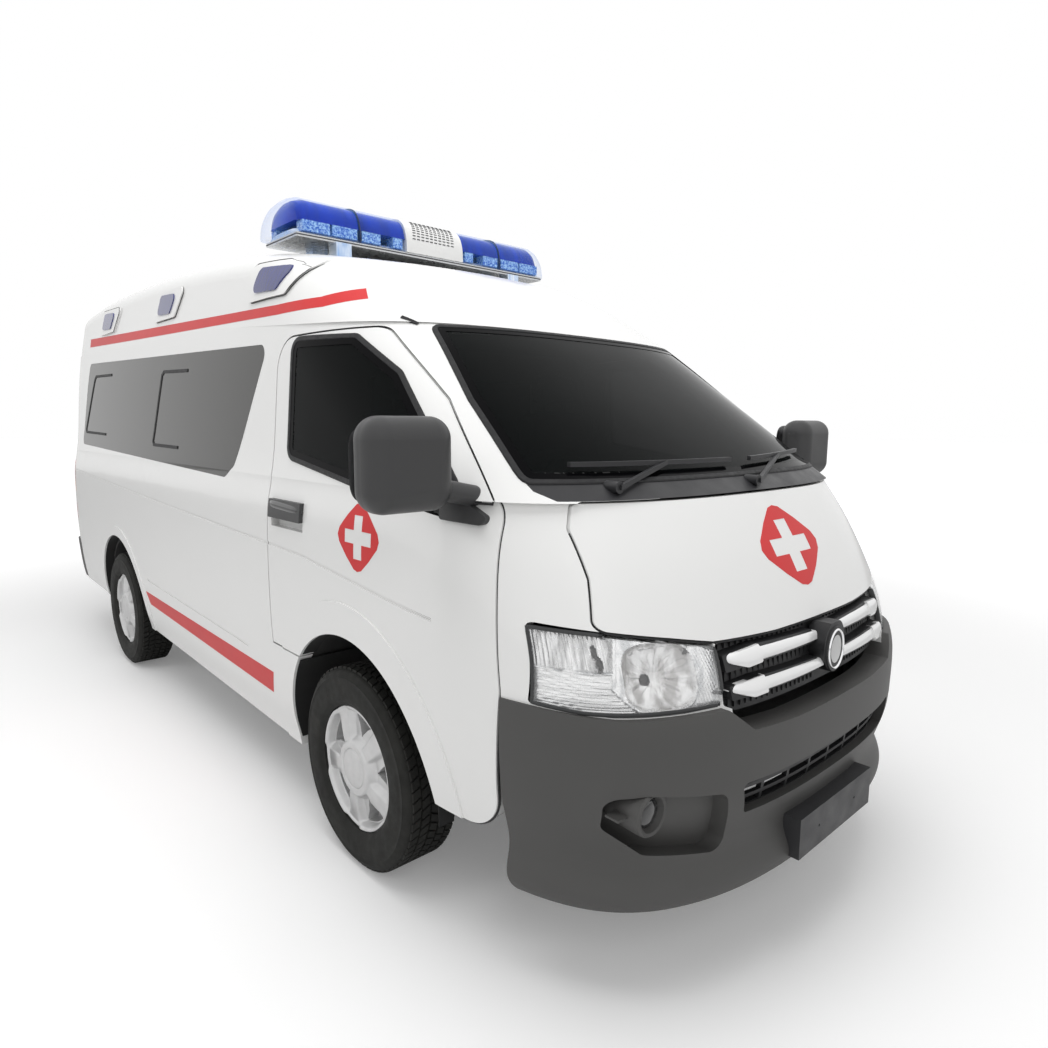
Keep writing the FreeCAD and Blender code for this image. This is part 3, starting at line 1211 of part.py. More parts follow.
def knuckle():
    """Right knuckle: an upright between the arm ends, with the wheel's spindle."""
    y = -KINGPIN_Y
    upright = box((FRONT_AXLE_X - KNUCKLE_LENGTH / 2, y - KNUCKLE_WIDTH / 2, TYRE_RADIUS - KNUCKLE_HALF_HEIGHT),
                  (FRONT_AXLE_X + KNUCKLE_LENGTH / 2, y + KNUCKLE_WIDTH / 2, TYRE_RADIUS + KNUCKLE_HALF_HEIGHT))
    spindle = rod(Vector(FRONT_AXLE_X, y, TYRE_RADIUS), Vector(FRONT_AXLE_X, -SPINDLE_TIP_Y, TYRE_RADIUS),
                  AXLE_SPINDLE_RADIUS)
    bores = rod(Vector(FRONT_AXLE_X, y, TYRE_RADIUS - KNUCKLE_HALF_HEIGHT - OVERRUN),
                Vector(FRONT_AXLE_X, y, TYRE_RADIUS - KNUCKLE_HALF_HEIGHT + PIN_DEPTH + FIT), PIN_RADIUS + FIT)
    top_bore = rod(Vector(FRONT_AXLE_X, y, TYRE_RADIUS + KNUCKLE_HALF_HEIGHT - PIN_DEPTH - FIT),
                   Vector(FRONT_AXLE_X, y, TYRE_RADIUS + KNUCKLE_HALF_HEIGHT + OVERRUN), PIN_RADIUS + FIT)
    return fused([upright, spindle]).cut(bores).cut(top_bore)


def exhaust():
    """Pipe from the engine, silencer, and a tail pipe that climbs over the axle."""
    path = [Vector(ENGINE_REAR_X, EXHAUST_Y - ENGINE_BEVEL, EXHAUST_Z + ENGINE_BEVEL * 2),
            Vector(SILENCER_REAR_X + SILENCER_LENGTH + SILENCER_RADIUS, EXHAUST_Y, EXHAUST_Z),
            Vector(SILENCER_REAR_X, EXHAUST_Y, EXHAUST_Z),
            Vector(REAR_AXLE_X + AXLE_BOWL_RADIUS * 2, EXHAUST_Y, EXHAUST_Z),
            Vector(REAR_AXLE_X + AXLE_TUBE_RADIUS, EXHAUST_Y, TYRE_RADIUS + AXLE_BOWL_RADIUS),
            Vector(REAR_AXLE_X - AXLE_TUBE_RADIUS, EXHAUST_Y, TYRE_RADIUS + AXLE_BOWL_RADIUS),
            Vector(REAR_AXLE_X - AXLE_BOWL_RADIUS * 2, EXHAUST_Y, EXHAUST_Z),
            Vector(EXHAUST_TIP_X, EXHAUST_Y, EXHAUST_Z)]
    pieces = [rod(a, b, EXHAUST_RADIUS) for a, b in zip(path, path[1:])]
    pieces += [Part.makeSphere(EXHAUST_RADIUS, p) for p in path[1:-1]]
    silencer = rod(Vector(SILENCER_REAR_X, EXHAUST_Y, EXHAUST_Z),
                   Vector(SILENCER_REAR_X + SILENCER_LENGTH, EXHAUST_Y, EXHAUST_Z), SILENCER_RADIUS)
    hangers = [box((x - EXHAUST_RADIUS / 2, EXHAUST_Y - EXHAUST_RADIUS / 2, EXHAUST_Z),
                   (x + EXHAUST_RADIUS / 2, EXHAUST_Y + EXHAUST_RADIUS / 2, FLOOR_TOP - FLOOR_SHEET))
               for x in (SILENCER_REAR_X + SILENCER_LENGTH / 2, EXHAUST_TIP_X + SILENCER_RADIUS * 2)]
    return fused(pieces + [silencer] + hangers).cut(engine())


def fuel_tank():
    top = FLOOR_TOP - FLOOR_SHEET
    block = box((TANK_REAR_X, TANK_Y - TANK_WIDTH / 2, top - TANK_DEPTH),
                (TANK_REAR_X + TANK_LENGTH, TANK_Y + TANK_WIDTH / 2, top))
    return block.makeFillet(SEAT_ROUND, [e for e in block.Edges if e.BoundBox.ZMax < top])


# Wheels

RIM_SHEET = 8.0
RIM_DROP = 34.0
RIM_FACE_DISH = 18.0
RIM_FACE_SHEET = 14.0
HUB_CAP_RADIUS = 52.0
HUB_CAP_RISE = 22.0
HUB_BOSS_RADIUS = 74.0
RIM_HOLES = 5
RIM_HOLE_PITCH_RADIUS = 148.0
RIM_HOLE_RADIUS = 19.0
BORE_CLEARANCE = 0.5
TYRE_BEAD_FIT = 0.3


def turned(points, axle_x, side):
    """A closed ring or disc turned about the wheel axis; profile is radius and distance outward."""
    profile = [Vector(axle_x, side * (WHEEL_Y + out), TYRE_RADIUS + radius) for radius, out in points]
    face = Part.Face(Part.makePolygon(profile + [profile[0]]))
    solid = face.revolve(Vector(axle_x, 0, TYRE_RADIUS), Vector(0, 1, 0), 360)
    return solid


def rim(axle_x, side):
    """Barrel with a dished face, five windows and a raised centre."""
    half = RIM_WIDTH / 2
    inner_barrel = RIM_RADIUS - RIM_DROP
    bore = AXLE_SPINDLE_RADIUS + BORE_CLEARANCE
    profile = [
        (RIM_RADIUS, half), (RIM_RADIUS, half - RIM_SHEET), (inner_barrel + RIM_SHEET, half - RIM_DROP),
        (inner_barrel + RIM_SHEET, RIM_DROP - half), (RIM_RADIUS, RIM_SHEET - half), (RIM_RADIUS, -half),
        (inner_barrel, RIM_DROP - half), (inner_barrel, half - RIM_DROP - RIM_FACE_SHEET),
        (HUB_BOSS_RADIUS, half - RIM_FACE_DISH - RIM_FACE_SHEET), (bore, half - RIM_FACE_DISH - RIM_FACE_SHEET),
        (bore, half - RIM_FACE_DISH), (0.0, half - RIM_FACE_DISH), (0.0, half + HUB_CAP_RISE - RIM_FACE_DISH),
        (HUB_CAP_RADIUS, half + HUB_CAP_RISE - RIM_FACE_DISH), (HUB_BOSS_RADIUS, half - RIM_FACE_DISH / 2),
        (inner_barrel, half - RIM_FACE_DISH), (RIM_RADIUS - RIM_SHEET, half),
    ]
    solid = turned(profile, axle_x, side)
    for i in range(RIM_HOLES):
        angle = math.radians(90 + i * 360 / RIM_HOLES)
        x = axle_x + RIM_HOLE_PITCH_RADIUS * math.cos(angle)
        z = TYRE_RADIUS + RIM_HOLE_PITCH_RADIUS * math.sin(angle)
        low = min(side * (WHEEL_Y - half), side * (WHEEL_Y + half)) - OVERRUN
        solid = solid.cut(disc(x, z, RIM_HOLE_RADIUS, low, low + RIM_WIDTH + 2 * OVERRUN))
    return largest(solid)


TREAD_SHOULDER_SHARE = 0.82
SHOULDER_WIDTH_SHARE = 0.97
SIDEWALL_BULGE_SHARE = 0.55
BEAD_SHARE = 0.78
TYRE_SIDES = 72


def many_sided(points, axle_x, side):
    """A closed ring of flat faces about the wheel axis, standing on one of its flats."""
    step = 2 * math.pi / TYRE_SIDES
    grow = 1 / math.cos(step / 2)
    rings = []
    for i in range(TYRE_SIDES):
        angle = (i + 0.5) * step
        across, up = grow * math.sin(angle), -grow * math.cos(angle)
        rings.append([Vector(axle_x + radius * across, side * (WHEEL_Y + out), TYRE_RADIUS + radius * up)
                      for radius, out in points])
    faces = []
    for i, ring in enumerate(rings):
        after = rings[(i + 1) % TYRE_SIDES]
        for j in range(len(points)):
            k = (j + 1) % len(points)
            faces.append(closed_face([ring[j], ring[k], after[k], after[j]]))
    solid = Part.Solid(Part.Shell(faces))
    solid.fix(FIT / 10, FIT / 10, FIT / 10)
    return solid


def tyre(axle_x, side):
    """A closed tyre: flat tread, sloping shoulders, bulged sidewalls, and a bore that fits the rim."""
    half = TYRE_WIDTH / 2
    seat = RIM_RADIUS + TYRE_BEAD_FIT
    depth = TYRE_RADIUS - seat
    rim_half = RIM_WIDTH / 2 * BEAD_SHARE
    bulge = seat + depth * SIDEWALL_BULGE_SHARE
    tread = half * TREAD_SHOULDER_SHARE
    shoulder = TYRE_RADIUS - depth * (1 - TREAD_SHOULDER_SHARE)
    shoulder_half = half * SHOULDER_WIDTH_SHARE
    profile = [(TYRE_RADIUS, tread), (shoulder, shoulder_half), (bulge, half), (seat, rim_half),
               (seat, -rim_half), (bulge, -half), (shoulder, -shoulder_half), (TYRE_RADIUS, -tread)]
    return many_sided(profile, axle_x, side)


# Wipers

WIPER_PIVOT_SHARES = ((-0.620, 0.575), (-0.010, 0.573))
WIPER_BLADE_SHARES = (((-0.700, 0.600), (-0.040, 0.600)), ((0.080, 0.600), (0.560, 0.606)))
WIPER_STATIONS = 9
WIPER_LIFT = 30.0
WIPER_FIT = 1.0
WIPER_THICKNESS = 12.0
WIPER_PIVOT_RADIUS = 15.0


def over_glass(shares, lift):
    """A point at a given width and height, standing off the skin."""
    y, z = y_at(shares[0]), z_at(shares[1])
    return Vector(skin_x(y, z, lift), y, z)


def strip(points, thickness):
    """A square bar across the vehicle through its points."""
    half = thickness / 2
    corners = ((-half, -half), (half, -half), (half, half), (-half, half))
    wires = []
    for p in points:
        ring = [Vector(p.x + u, p.y, p.z + v) for u, v in corners]
        wires.append(Part.makePolygon(ring + [ring[0]]))
    return Part.makeLoft(wires, True, True)


def wiper(pivot_shares, blade_shares):
    """Pivot cap, arm and blade, lying along the foot of the windscreen."""
    start, end = blade_shares
    blade = []
    for i in range(WIPER_STATIONS):
        t = i / (WIPER_STATIONS - 1)
        blade.append(over_glass([a + (b - a) * t for a, b in zip(start, end)], WIPER_LIFT))
    root = over_glass(pivot_shares, WIPER_LIFT)
    foot = rod(root.sub(Vector(WIPER_LIFT + WIPER_THICKNESS, 0, 0)), root, WIPER_PIVOT_RADIUS)
    foot = foot.cut(body_hull(-WIPER_FIT))
    arm = strip([root, blade[len(blade) // 2]], WIPER_THICKNESS)
    return largest(fused([strip(blade, WIPER_THICKNESS), arm, largest(foot)]))


def wipers():
    return Part.makeCompound([wiper(p, b) for p, b in zip(WIPER_PIVOT_SHARES, WIPER_BLADE_SHARES)])


# All sub-parts


def all_parts():
    parts = {}
    parts.update(side_parts())
    parts.update(nose_parts())
    parts.update(tailgate_parts())
    parts.update(door_parts())
    parts.update(lightbar_parts())
    parts.update(roof_side_lamps())
    parts.update(floor_parts())
    dash = dashboard()
    parts.update({
        "grille": grille(), "front_bumper": front_bumper(), "intake_grille": intake_grille(),
        "plate_bracket": plate_bracket(), "fog_lamps": fog_lamps(), "headlamps": headlamps(),
        "rear_bumper": rear_bumper(), "tail_lamps": tail_lamps(), "roof_cap": roof_cap(),
        "front_seats": front_seats(), "dashboard": dash,
        "steering_wheel": steering_wheel(), "steering_column": steering_column(dash),
        "partition": partition(), "bench_seat": bench_seat(), "cabinet": cabinet(),
        "engine": engine(), "propshaft": propshaft(), "rear_axle": rear_axle(),
        "leaf_springs": leaf_springs(), "front_subframe": front_subframe(), "exhaust": exhaust(),
        "fuel_tank": fuel_tank(), "wipers": wipers(),
        "knuckle_right": knuckle(), "knuckle_left": mirrored(knuckle()),
    })
    for end, axle_x in (("front", FRONT_AXLE_X), ("rear", REAR_AXLE_X)):
        for hand, side in (("right", -1), ("left", 1)):
            parts["rim_%s_%s" % (end, hand)] = rim(axle_x, side)
            parts["tyre_%s_%s" % (end, hand)] = tyre(axle_x, side)
    return parts


os.makedirs("parts", exist_ok=True)
for node, shape in all_parts().items():
    shape.exportStep("parts/%s.step" % node)
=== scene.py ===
import math

import bmesh
import bpy
from mathutils import Matrix, Vector
from mathutils.bvhtree import BVHTree


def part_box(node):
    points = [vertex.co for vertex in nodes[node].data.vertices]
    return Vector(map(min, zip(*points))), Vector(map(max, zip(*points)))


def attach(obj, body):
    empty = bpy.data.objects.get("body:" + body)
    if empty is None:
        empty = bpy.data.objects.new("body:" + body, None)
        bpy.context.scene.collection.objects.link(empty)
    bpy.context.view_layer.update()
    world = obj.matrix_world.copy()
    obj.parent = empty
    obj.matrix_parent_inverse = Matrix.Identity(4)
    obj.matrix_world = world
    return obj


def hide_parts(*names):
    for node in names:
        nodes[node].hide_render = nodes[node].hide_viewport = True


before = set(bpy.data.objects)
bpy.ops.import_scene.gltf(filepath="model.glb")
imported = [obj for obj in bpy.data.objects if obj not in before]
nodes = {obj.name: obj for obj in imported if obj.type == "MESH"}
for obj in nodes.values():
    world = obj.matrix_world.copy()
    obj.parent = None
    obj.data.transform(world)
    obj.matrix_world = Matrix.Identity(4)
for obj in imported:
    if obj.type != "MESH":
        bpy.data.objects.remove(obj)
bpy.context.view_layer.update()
scene = bpy.context.scene

# Underbody.
# Pressed floor, subframe, springs and tank, sealed with a black bitumen coat that is slightly pebbled.
# The engine, axle, knuckles and exhaust are bare cast or rolled metal, dulled by the road.


def shader_of(material):
    return material.node_tree.nodes["Principled BSDF"]


def finish(name, colour, roughness, **plain):
    """A new material with one colour and its plain shader sockets."""
    material = bpy.data.materials.new(name)
    material.use_nodes = True
    shader = shader_of(material)
    shader.inputs["Base Color"].default_value = (*colour, 1.0)
    shader.inputs["Roughness"].default_value = roughness
    for socket, value in plain.items():
        shader.inputs[socket.replace("_", " ").title().replace("Ior", "IOR")].default_value = value
    return material


def add_node(material, kind, **values):
    """One shader node with its sockets set."""
    node = material.node_tree.nodes.new(kind)
    for socket, value in values.items():
        node.inputs[socket.replace("_", " ")].default_value = value
    return node


EVENLY = (1.0, 1.0, 1.0)


def noise_of(material, scale, detail=3.0, stretch=EVENLY):
    """Noise in the piece's own coordinates."""
    links = material.node_tree.links
    place = add_node(material, "ShaderNodeTexCoord")
    mapping = add_node(material, "ShaderNodeMapping", Scale=stretch)
    noise = add_node(material, "ShaderNodeTexNoise", Scale=scale, Detail=detail)
    links.new(place.outputs["Object"], mapping.inputs["Vector"])
    links.new(mapping.outputs["Vector"], noise.inputs["Vector"])
    return noise.outputs["Fac"]


def vary(material, scale, low, high, detail=3.0):
    """Noise moves the roughness between two values."""
    spread = add_node(material, "ShaderNodeMapRange", From_Min=0.3, From_Max=0.7, To_Min=low,
                      To_Max=high)
    material.node_tree.links.new(noise_of(material, scale, detail), spread.inputs["Value"])
    material.node_tree.links.new(spread.outputs["Result"], shader_of(material).inputs["Roughness"])


def tint(material, scale, dark, light, low=0.3, high=0.7, detail=3.0, stretch=EVENLY):
    """Noise mixes two colours of one finish."""
    ramp = material.node_tree.nodes.new("ShaderNodeValToRGB")
    ramp.color_ramp.elements[0].position = low
    ramp.color_ramp.elements[0].color = (*dark, 1.0)
    ramp.color_ramp.elements[1].position = high
    ramp.color_ramp.elements[1].color = (*light, 1.0)
    material.node_tree.links.new(noise_of(material, scale, detail, stretch), ramp.inputs["Fac"])
    material.node_tree.links.new(ramp.outputs["Color"], shader_of(material).inputs["Base Color"])


def emboss(material, source, depth, strength=0.5, detail=3.0, stretch=EVENLY):
    """Noise of a scale, or another texture, raises the surface by a depth in metres."""
    if not isinstance(source, bpy.types.NodeSocket):
        source = noise_of(material, source, detail, stretch)
    bump = add_node(material, "ShaderNodeBump", Distance=depth, Strength=strength)
    material.node_tree.links.new(source, bump.inputs["Height"])
    material.node_tree.links.new(bump.outputs["Normal"], shader_of(material).inputs["Normal"])


def clear_plastic(name, colour, face, edge, roughness=0.03, **plain):
    """Clear plastic or tinted glass: seen through from the front, denser at a glance."""
    material = finish(name, colour, roughness, **plain)
    glance = add_node(material, "ShaderNodeLayerWeight", Blend=0.35)
    spread = add_node(material, "ShaderNodeMapRange", To_Min=face, To_Max=edge)
    material.node_tree.links.new(glance.outputs["Facing"], spread.inputs["Value"])
    material.node_tree.links.new(spread.outputs["Result"], shader_of(material).inputs["Alpha"])
    vary(material, 20.0, roughness, roughness * 2)
    return material


def dress(material, *names):
    """Gives CAD pieces a finish."""
    for name in names:
        mesh = nodes[name].data
        mesh.materials.clear()
        mesh.materials.append(material)


underseal = finish("underseal", (0.020, 0.020, 0.021), 0.62)
tint(underseal, 5.0, (0.016, 0.016, 0.017), (0.030, 0.029, 0.028))
emboss(underseal, 180.0, 0.0008)
dress(underseal, "floor_pan", "cab_floor", "propshaft", "leaf_springs", "front_subframe", "fuel_tank")

cast_metal = finish("cast_metal", (0.16, 0.16, 0.165), 0.55, metallic=0.7)
tint(cast_metal, 9.0, (0.09, 0.088, 0.085), (0.21, 0.21, 0.215))
emboss(cast_metal, 420.0, 0.0006)
dress(cast_metal, "engine", "rear_axle", "knuckle_right", "knuckle_left")

exhaust_steel = finish("exhaust_steel", (0.23, 0.21, 0.19), 0.42, metallic=0.9)
tint(exhaust_steel, 6.0, (0.14, 0.115, 0.095), (0.30, 0.29, 0.28))
vary(exhaust_steel, 22.0, 0.35, 0.6)
dress(exhaust_steel, "exhaust")

# Wheels.
# A black radial tyre with five rows of tread blocks on a pressed steel rim. A silver moulded cover with
# five broad spokes clips over the rim and hides the nuts.

WHEELS = ("front_right", "front_left", "rear_right", "rear_left")
TREAD_ROWS = (-0.062, -0.0315, 0.0, 0.0315, 0.062)
TREAD_ROW_WIDTH = 0.026
TREAD_DEPTH = 0.007
TREAD_PITCHES = 64
TREAD_FILL = 0.82
TREAD_SLANT = 0.006
BLOCK_FOOT_SHARE = 1.2
BLOCK_TOP_SHARES = (0.95, 0.94)
BLOCK_CLEAR = 0.0004
TYRE_STEPS = 120
BEAD_RADIUS = 0.1955
BEAD_HALF = 0.080
SIDEWALL = ((0.90, 0.203), (0.955, 0.212), (0.965, 0.214), (0.985, 0.228), (0.997, 0.246),
            (1.0, 0.256), (0.994, 0.268), (0.975, 0.280), (0.985, 0.2815), (0.985, 0.2845),
            (0.965, 0.286), (0.915, 0.297), (0.86, 0.3035))
CROWN_SHARE = 0.80
COVER_SPOKES = 5
COVER_RADIUS = 0.1945
COVER_RINGS = 66
COVER_STEPS = 240
COVER_TURN = math.radians(81)
COVER_FACE = 0.074
HUB_RADIUS = 0.080
CAP_RADIUS = 0.058
POCKET_DEPTH = 0.032
HOLE_DEPTH = 0.030
HOLE_START = 0.104
HOLE_END = 0.168
HOLE_HALF = math.radians(18)
COVER_CENTRE = 0.002
COVER_BACK = ((-0.010, COVER_RADIUS + 0.0005), (-0.162, COVER_RADIUS + 0.0005), (-0.166, 0.190),
              (-0.160, 0.183), (-0.075, 0.172), (-0.062, 0.160), (-0.058, 0.110), (-0.078, 0.085),
              (-0.080, 0.040))


def mesh_of(bm, name, sharp=math.radians(32)):
    """Turns a bmesh into a mesh with outward faces, smooth but for its sharp edges."""
    bmesh.ops.recalc_face_normals(bm, faces=bm.faces)
    mesh = bpy.data.meshes.new(name)
    bm.to_mesh(mesh)
    bm.free()
    mesh.shade_smooth()
    mesh.set_sharp_from_angle(angle=sharp)
    return mesh


def loft(rows, name, looped=False, sharp=math.radians(32)):
    """A closed skin through rings of points, from the first to the last."""
    bm = bmesh.new()
    rings = [[bm.verts.new(point) for point in row] for row in rows]
    pairs = list(zip(rings, rings[1:]))
    if looped:
        pairs.append((rings[-1], rings[0]))
    for near, far in pairs:
        for a, b, c, d in zip(near, near[1:] + near[:1], far[1:] + far[:1], far):
            bm.faces.new((a, b, c, d))
    if not looped:
        bm.faces.new(rings[0][::-1])
        bm.faces.new(rings[-1])
    return mesh_of(bm, name, sharp)


def turned(profile, centre, steps, name, sharp=math.radians(32)):
    """A closed profile of (along the axle, radius) pairs turned round an axle that runs across."""
    rows = []
    for k in range(steps):
        turn = math.tau * k / steps
        rows.append([centre + Vector((r * math.cos(turn), y, r * math.sin(turn))) for y, r in profile])
    return loft(rows, name, looped=True, sharp=sharp)


def dyed(mesh, *materials):
    """The same mesh with its finishes."""
    for material in materials:
        mesh.materials.append(material)
    return mesh


def joined(meshes, name):
    """One mesh from several, each keeping its own material."""
    bm = bmesh.new()
    kinds = []
    for mesh in meshes:
        for material in mesh.materials:
            if material not in kinds:
                kinds.append(material)
        first = len(bm.faces)
        own = list(mesh.materials)
        bm.from_mesh(mesh)
        bm.faces.ensure_lookup_table()
        for face in bm.faces[first:]:
            face.material_index = kinds.index(own[face.material_index]) if own else 0
    whole = bpy.data.meshes.new(name)
    bm.to_mesh(whole)
    bm.free()
    return dyed(whole, *kinds)


def put(name, made, body, slot, *materials, replaces=()):
    """Places a mesh, or several joined as one, on a body of the frame."""
    mesh = joined(made, name) if isinstance(made, list) else made
    mesh.name = name
    if materials:
        mesh.materials.clear()
        dyed(mesh, *materials)
    piece = bpy.data.objects.new(name, mesh)
    scene.collection.objects.link(piece)
    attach(piece, body)
    if replaces:
        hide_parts(*replaces)
    return piece


def repeating_tree(name, *sizes):
    """An empty Geometry Nodes tree with a piece in, its named sizes, and a piece out."""
    tree = bpy.data.node_groups.new(name, "GeometryNodeTree")
    tree.interface.new_socket("Piece", in_out="INPUT", socket_type="NodeSocketGeometry")
    tree.interface.new_socket("Copies", in_out="INPUT", socket_type="NodeSocketInt")
    tree.interface.new_socket("Finish", in_out="INPUT", socket_type="NodeSocketMaterial")
    for size in sizes:
        tree.interface.new_socket(size, in_out="INPUT", socket_type="NodeSocketVector")
    tree.interface.new_socket("Piece", in_out="OUTPUT", socket_type="NodeSocketGeometry")
    return tree


def grow(tree, kind, **links):
    """Adds a node to a Geometry Nodes tree and links or sets its sockets by name."""
    node = tree.nodes.new(kind)
    for socket, source in links.items():
        target = node.inputs[socket.replace("_", " ")]
        if isinstance(source, bpy.types.NodeSocket):
            tree.links.new(source, target)
        else:
            target.default_value = source
    return node


def end_tree(tree, points, piece, turn, shift, finish_socket):
    """Places a piece on the points, makes it real, gives it its finish and ends the tree."""
    stamped = grow(tree, "GeometryNodeInstanceOnPoints", Points=points, Instance=piece, Rotation=turn)
    real = grow(tree, "GeometryNodeRealizeInstances", Geometry=stamped.outputs["Instances"])
    moved = grow(tree, "GeometryNodeTransform", Geometry=real.outputs["Geometry"], Translation=shift)
    dyed = grow(tree, "GeometryNodeSetMaterial", Geometry=moved.outputs["Geometry"],
                Material=finish_socket)
    out = tree.nodes.new("NodeGroupOutput")
    tree.links.new(dyed.outputs["Geometry"], out.inputs["Piece"])


def ring_tree():
    """Copies of a piece turned round an axle that runs across, then moved to the axle's place."""
    tree = repeating_tree("round_the_axle", "Centre")
    given = tree.nodes.new("NodeGroupInput")
    points = grow(tree, "GeometryNodeMeshLine", Count=given.outputs["Copies"], Offset=(0.0, 0.0, 0.0))
    number = tree.nodes.new("GeometryNodeInputIndex")
    share = grow(tree, "ShaderNodeMath")
    share.operation = "DIVIDE"
    tree.links.new(number.outputs["Index"], share.inputs[0])
    tree.links.new(given.outputs["Copies"], share.inputs[1])
    angle = grow(tree, "ShaderNodeMath")
    angle.operation = "MULTIPLY"
    tree.links.new(share.outputs[0], angle.inputs[0])
    angle.inputs[1].default_value = math.tau
    turn = grow(tree, "ShaderNodeCombineXYZ", Y=angle.outputs[0])
    end_tree(tree, points.outputs["Mesh"], given.outputs["Piece"], turn.outputs["Vector"],
             given.outputs["Centre"], given.outputs["Finish"])
    return tree


def repeated(tree, seed, name, **inputs):
    """The plain mesh that a repeating tree makes from one small piece."""
    carrier = bpy.data.objects.new(name, seed)
    scene.collection.objects.link(carrier)
    copier = carrier.modifiers.new("copies", "NODES")
    copier.node_group = tree
    for item in tree.interface.items_tree:
        if item.in_out == "INPUT" and item.name in inputs:
            copier[item.identifier] = inputs[item.name]
    depsgraph = bpy.context.evaluated_depsgraph_get()
    result = bpy.data.meshes.new_from_object(carrier.evaluated_get(depsgraph))
    carrier.modifiers.remove(copier)
    bpy.data.objects.remove(carrier)
    return result


rubber = finish("tyre_rubber", (0.014, 0.014, 0.013), 0.75, specular_ior_level=0.3)
tint(rubber, 12.0, (0.012, 0.012, 0.011), (0.018, 0.018, 0.016))
vary(rubber, 40.0, 0.68, 0.82)
emboss(rubber, 700.0, 0.0004, 0.4)

cover_silver = finish("wheel_silver", (0.60, 0.60, 0.60), 0.28, metallic=0.6, coat_weight=0.2)
tint(cover_silver, 30.0, (0.57, 0.57, 0.57), (0.63, 0.63, 0.63))
emboss(cover_silver, 1500.0, 0.0001, 0.2, detail=1.0)
# The vents are not cut through the cover: their faces sink in and take this near-black finish, painted
# shade for the hollow behind.
vent_painted_shade = finish("vent_painted_shade", (0.004, 0.004, 0.004), 0.9, specular_ior_level=0.1)
vary(vent_painted_shade, 60.0, 0.85, 0.95)

around = ring_tree()


def tread_block(y, radius):
    """One tread block at the top of the tyre, slanted across the tread."""
    long = math.tau * radius / TREAD_PITCHES * TREAD_FILL / 2
    half = TREAD_ROW_WIDTH / 2
    lean = TREAD_SLANT * (1 if y >= 0 else -1)
    low, high = radius - TREAD_DEPTH * BLOCK_FOOT_SHARE, radius - BLOCK_CLEAR
    long_share, wide_share = BLOCK_TOP_SHARES
    bm = bmesh.new()
    corners = [(-long - lean, y - half), (long - lean, y - half), (long + lean, y + half),
               (-long + lean, y + half)]
    foot = [bm.verts.new((x, c, low)) for x, c in corners]
    top = [bm.verts.new((x * long_share, y + (c - y) * wide_share, high)) for x, c in corners]
    bm.faces.new(foot[::-1])
    bm.faces.new(top)
    for k in range(4):
        bm.faces.new((foot[k], foot[(k + 1) % 4], top[(k + 1) % 4], top[k]))
    return mesh_of(bm, "tread_block")


def tyre_mesh(centre, radius, half):
    """Sidewalls, shoulders and bead turned in one, with the tread blocks on the crown."""
    side = [(BEAD_HALF, BEAD_RADIUS)] + [(half * share, r) for share, r in SIDEWALL]
    side.append((half * CROWN_SHARE, radius - TREAD_DEPTH))
    profile = side + [(-y, r) for y, r in reversed(side)]
    body = dyed(turned(profile, centre, TYRE_STEPS, "tyre", sharp=math.radians(50)), rubber)
    blocks = [repeated(around, tread_block(y, radius), "tread", Copies=TREAD_PITCHES, Finish=rubber,
                       Centre=centre) for y in TREAD_ROWS]
    return [body, *blocks]


def ease(value, start, end):
    """0 before start, 1 after end, smooth between."""
    share = min(max((value - start) / (end - start), 0.0), 1.0)
    return share * share * (3 - 2 * share)


def cover_face(r, turn):
    """Height of the wheel cover's face over its rim, and whether the spot is inside a vent."""
    span = math.tau / COVER_SPOKES
    arc = abs((turn - COVER_TURN + span / 2) % span - span / 2)
    pocket_half = math.radians(21.0) + math.radians(3.0) * ease(r, HUB_RADIUS, HOLE_END)
    into = ease(arc, pocket_half + math.radians(3.0), pocket_half - math.radians(4.0))
    outer = ease(r, 0.183, 0.174)
    inner = ease(r, HUB_RADIUS, HUB_RADIUS + 0.022)
    height = 0.012 - 0.010 * ease(r, 0.09, 0.185) - POCKET_DEPTH * into * outer * inner * 0.8
    height -= 0.006 * ease(r, HUB_RADIUS, HUB_RADIUS + 0.008) * (1 - into)
    height += 0.004 * ease(r, 0.184, 0.1875) * ease(r, 0.1935, 0.1925)
    height -= 0.003 * ease(r, CAP_RADIUS, CAP_RADIUS + 0.002) * ease(r, CAP_RADIUS + 0.006,
                                                                     CAP_RADIUS + 0.004)
    height += 0.003 * (1 - (r / CAP_RADIUS) ** 2) if r < CAP_RADIUS else 0.0
    wide = HOLE_HALF * (r - HOLE_START) / (HOLE_END - HOLE_START)
    vent = HOLE_START < r < HOLE_END and arc < wide
    return (height - HOLE_DEPTH if vent else height), vent


def cover_mesh(centre, outward, face_y):
    """The silver cover, the rim's barrel behind it and the dish that bolts to the hub."""
    bm = bmesh.new()
    radii = [COVER_CENTRE + (COVER_RADIUS - COVER_CENTRE) * k / (COVER_RINGS - 1)
             for k in range(COVER_RINGS)]
    rings = []
    dark = {}
    turns = [math.tau * k / COVER_STEPS for k in range(COVER_STEPS)]
    for r in radii:
        ring = []
        for turn in turns:
            height, vent = cover_face(r, turn)
            vert = bm.verts.new((r * math.cos(turn), outward * (face_y + height), r * math.sin(turn)))
            dark[vert] = vent
            ring.append(vert)
        rings.append(ring)
    for drop, r in COVER_BACK:
        rings.append([bm.verts.new((r * math.cos(t), outward * (face_y + drop), r * math.sin(t)))
                      for t in turns])
    bm.faces.new(rings[0])
    bm.faces.new(rings[-1])
    for near, far in zip(rings, rings[1:]):
        for a, b, c, d in zip(near, near[1:] + near[:1], far[1:] + far[:1], far):
            face = bm.faces.new((a, b, c, d))
            # Faces inside a vent take the painted shade finish.
            face.material_index = 1 if any(dark.get(v) for v in (a, b, c, d)) else 0
    bmesh.ops.translate(bm, verts=bm.verts, vec=centre)
    return mesh_of(bm, "wheel_cover", sharp=math.radians(60))


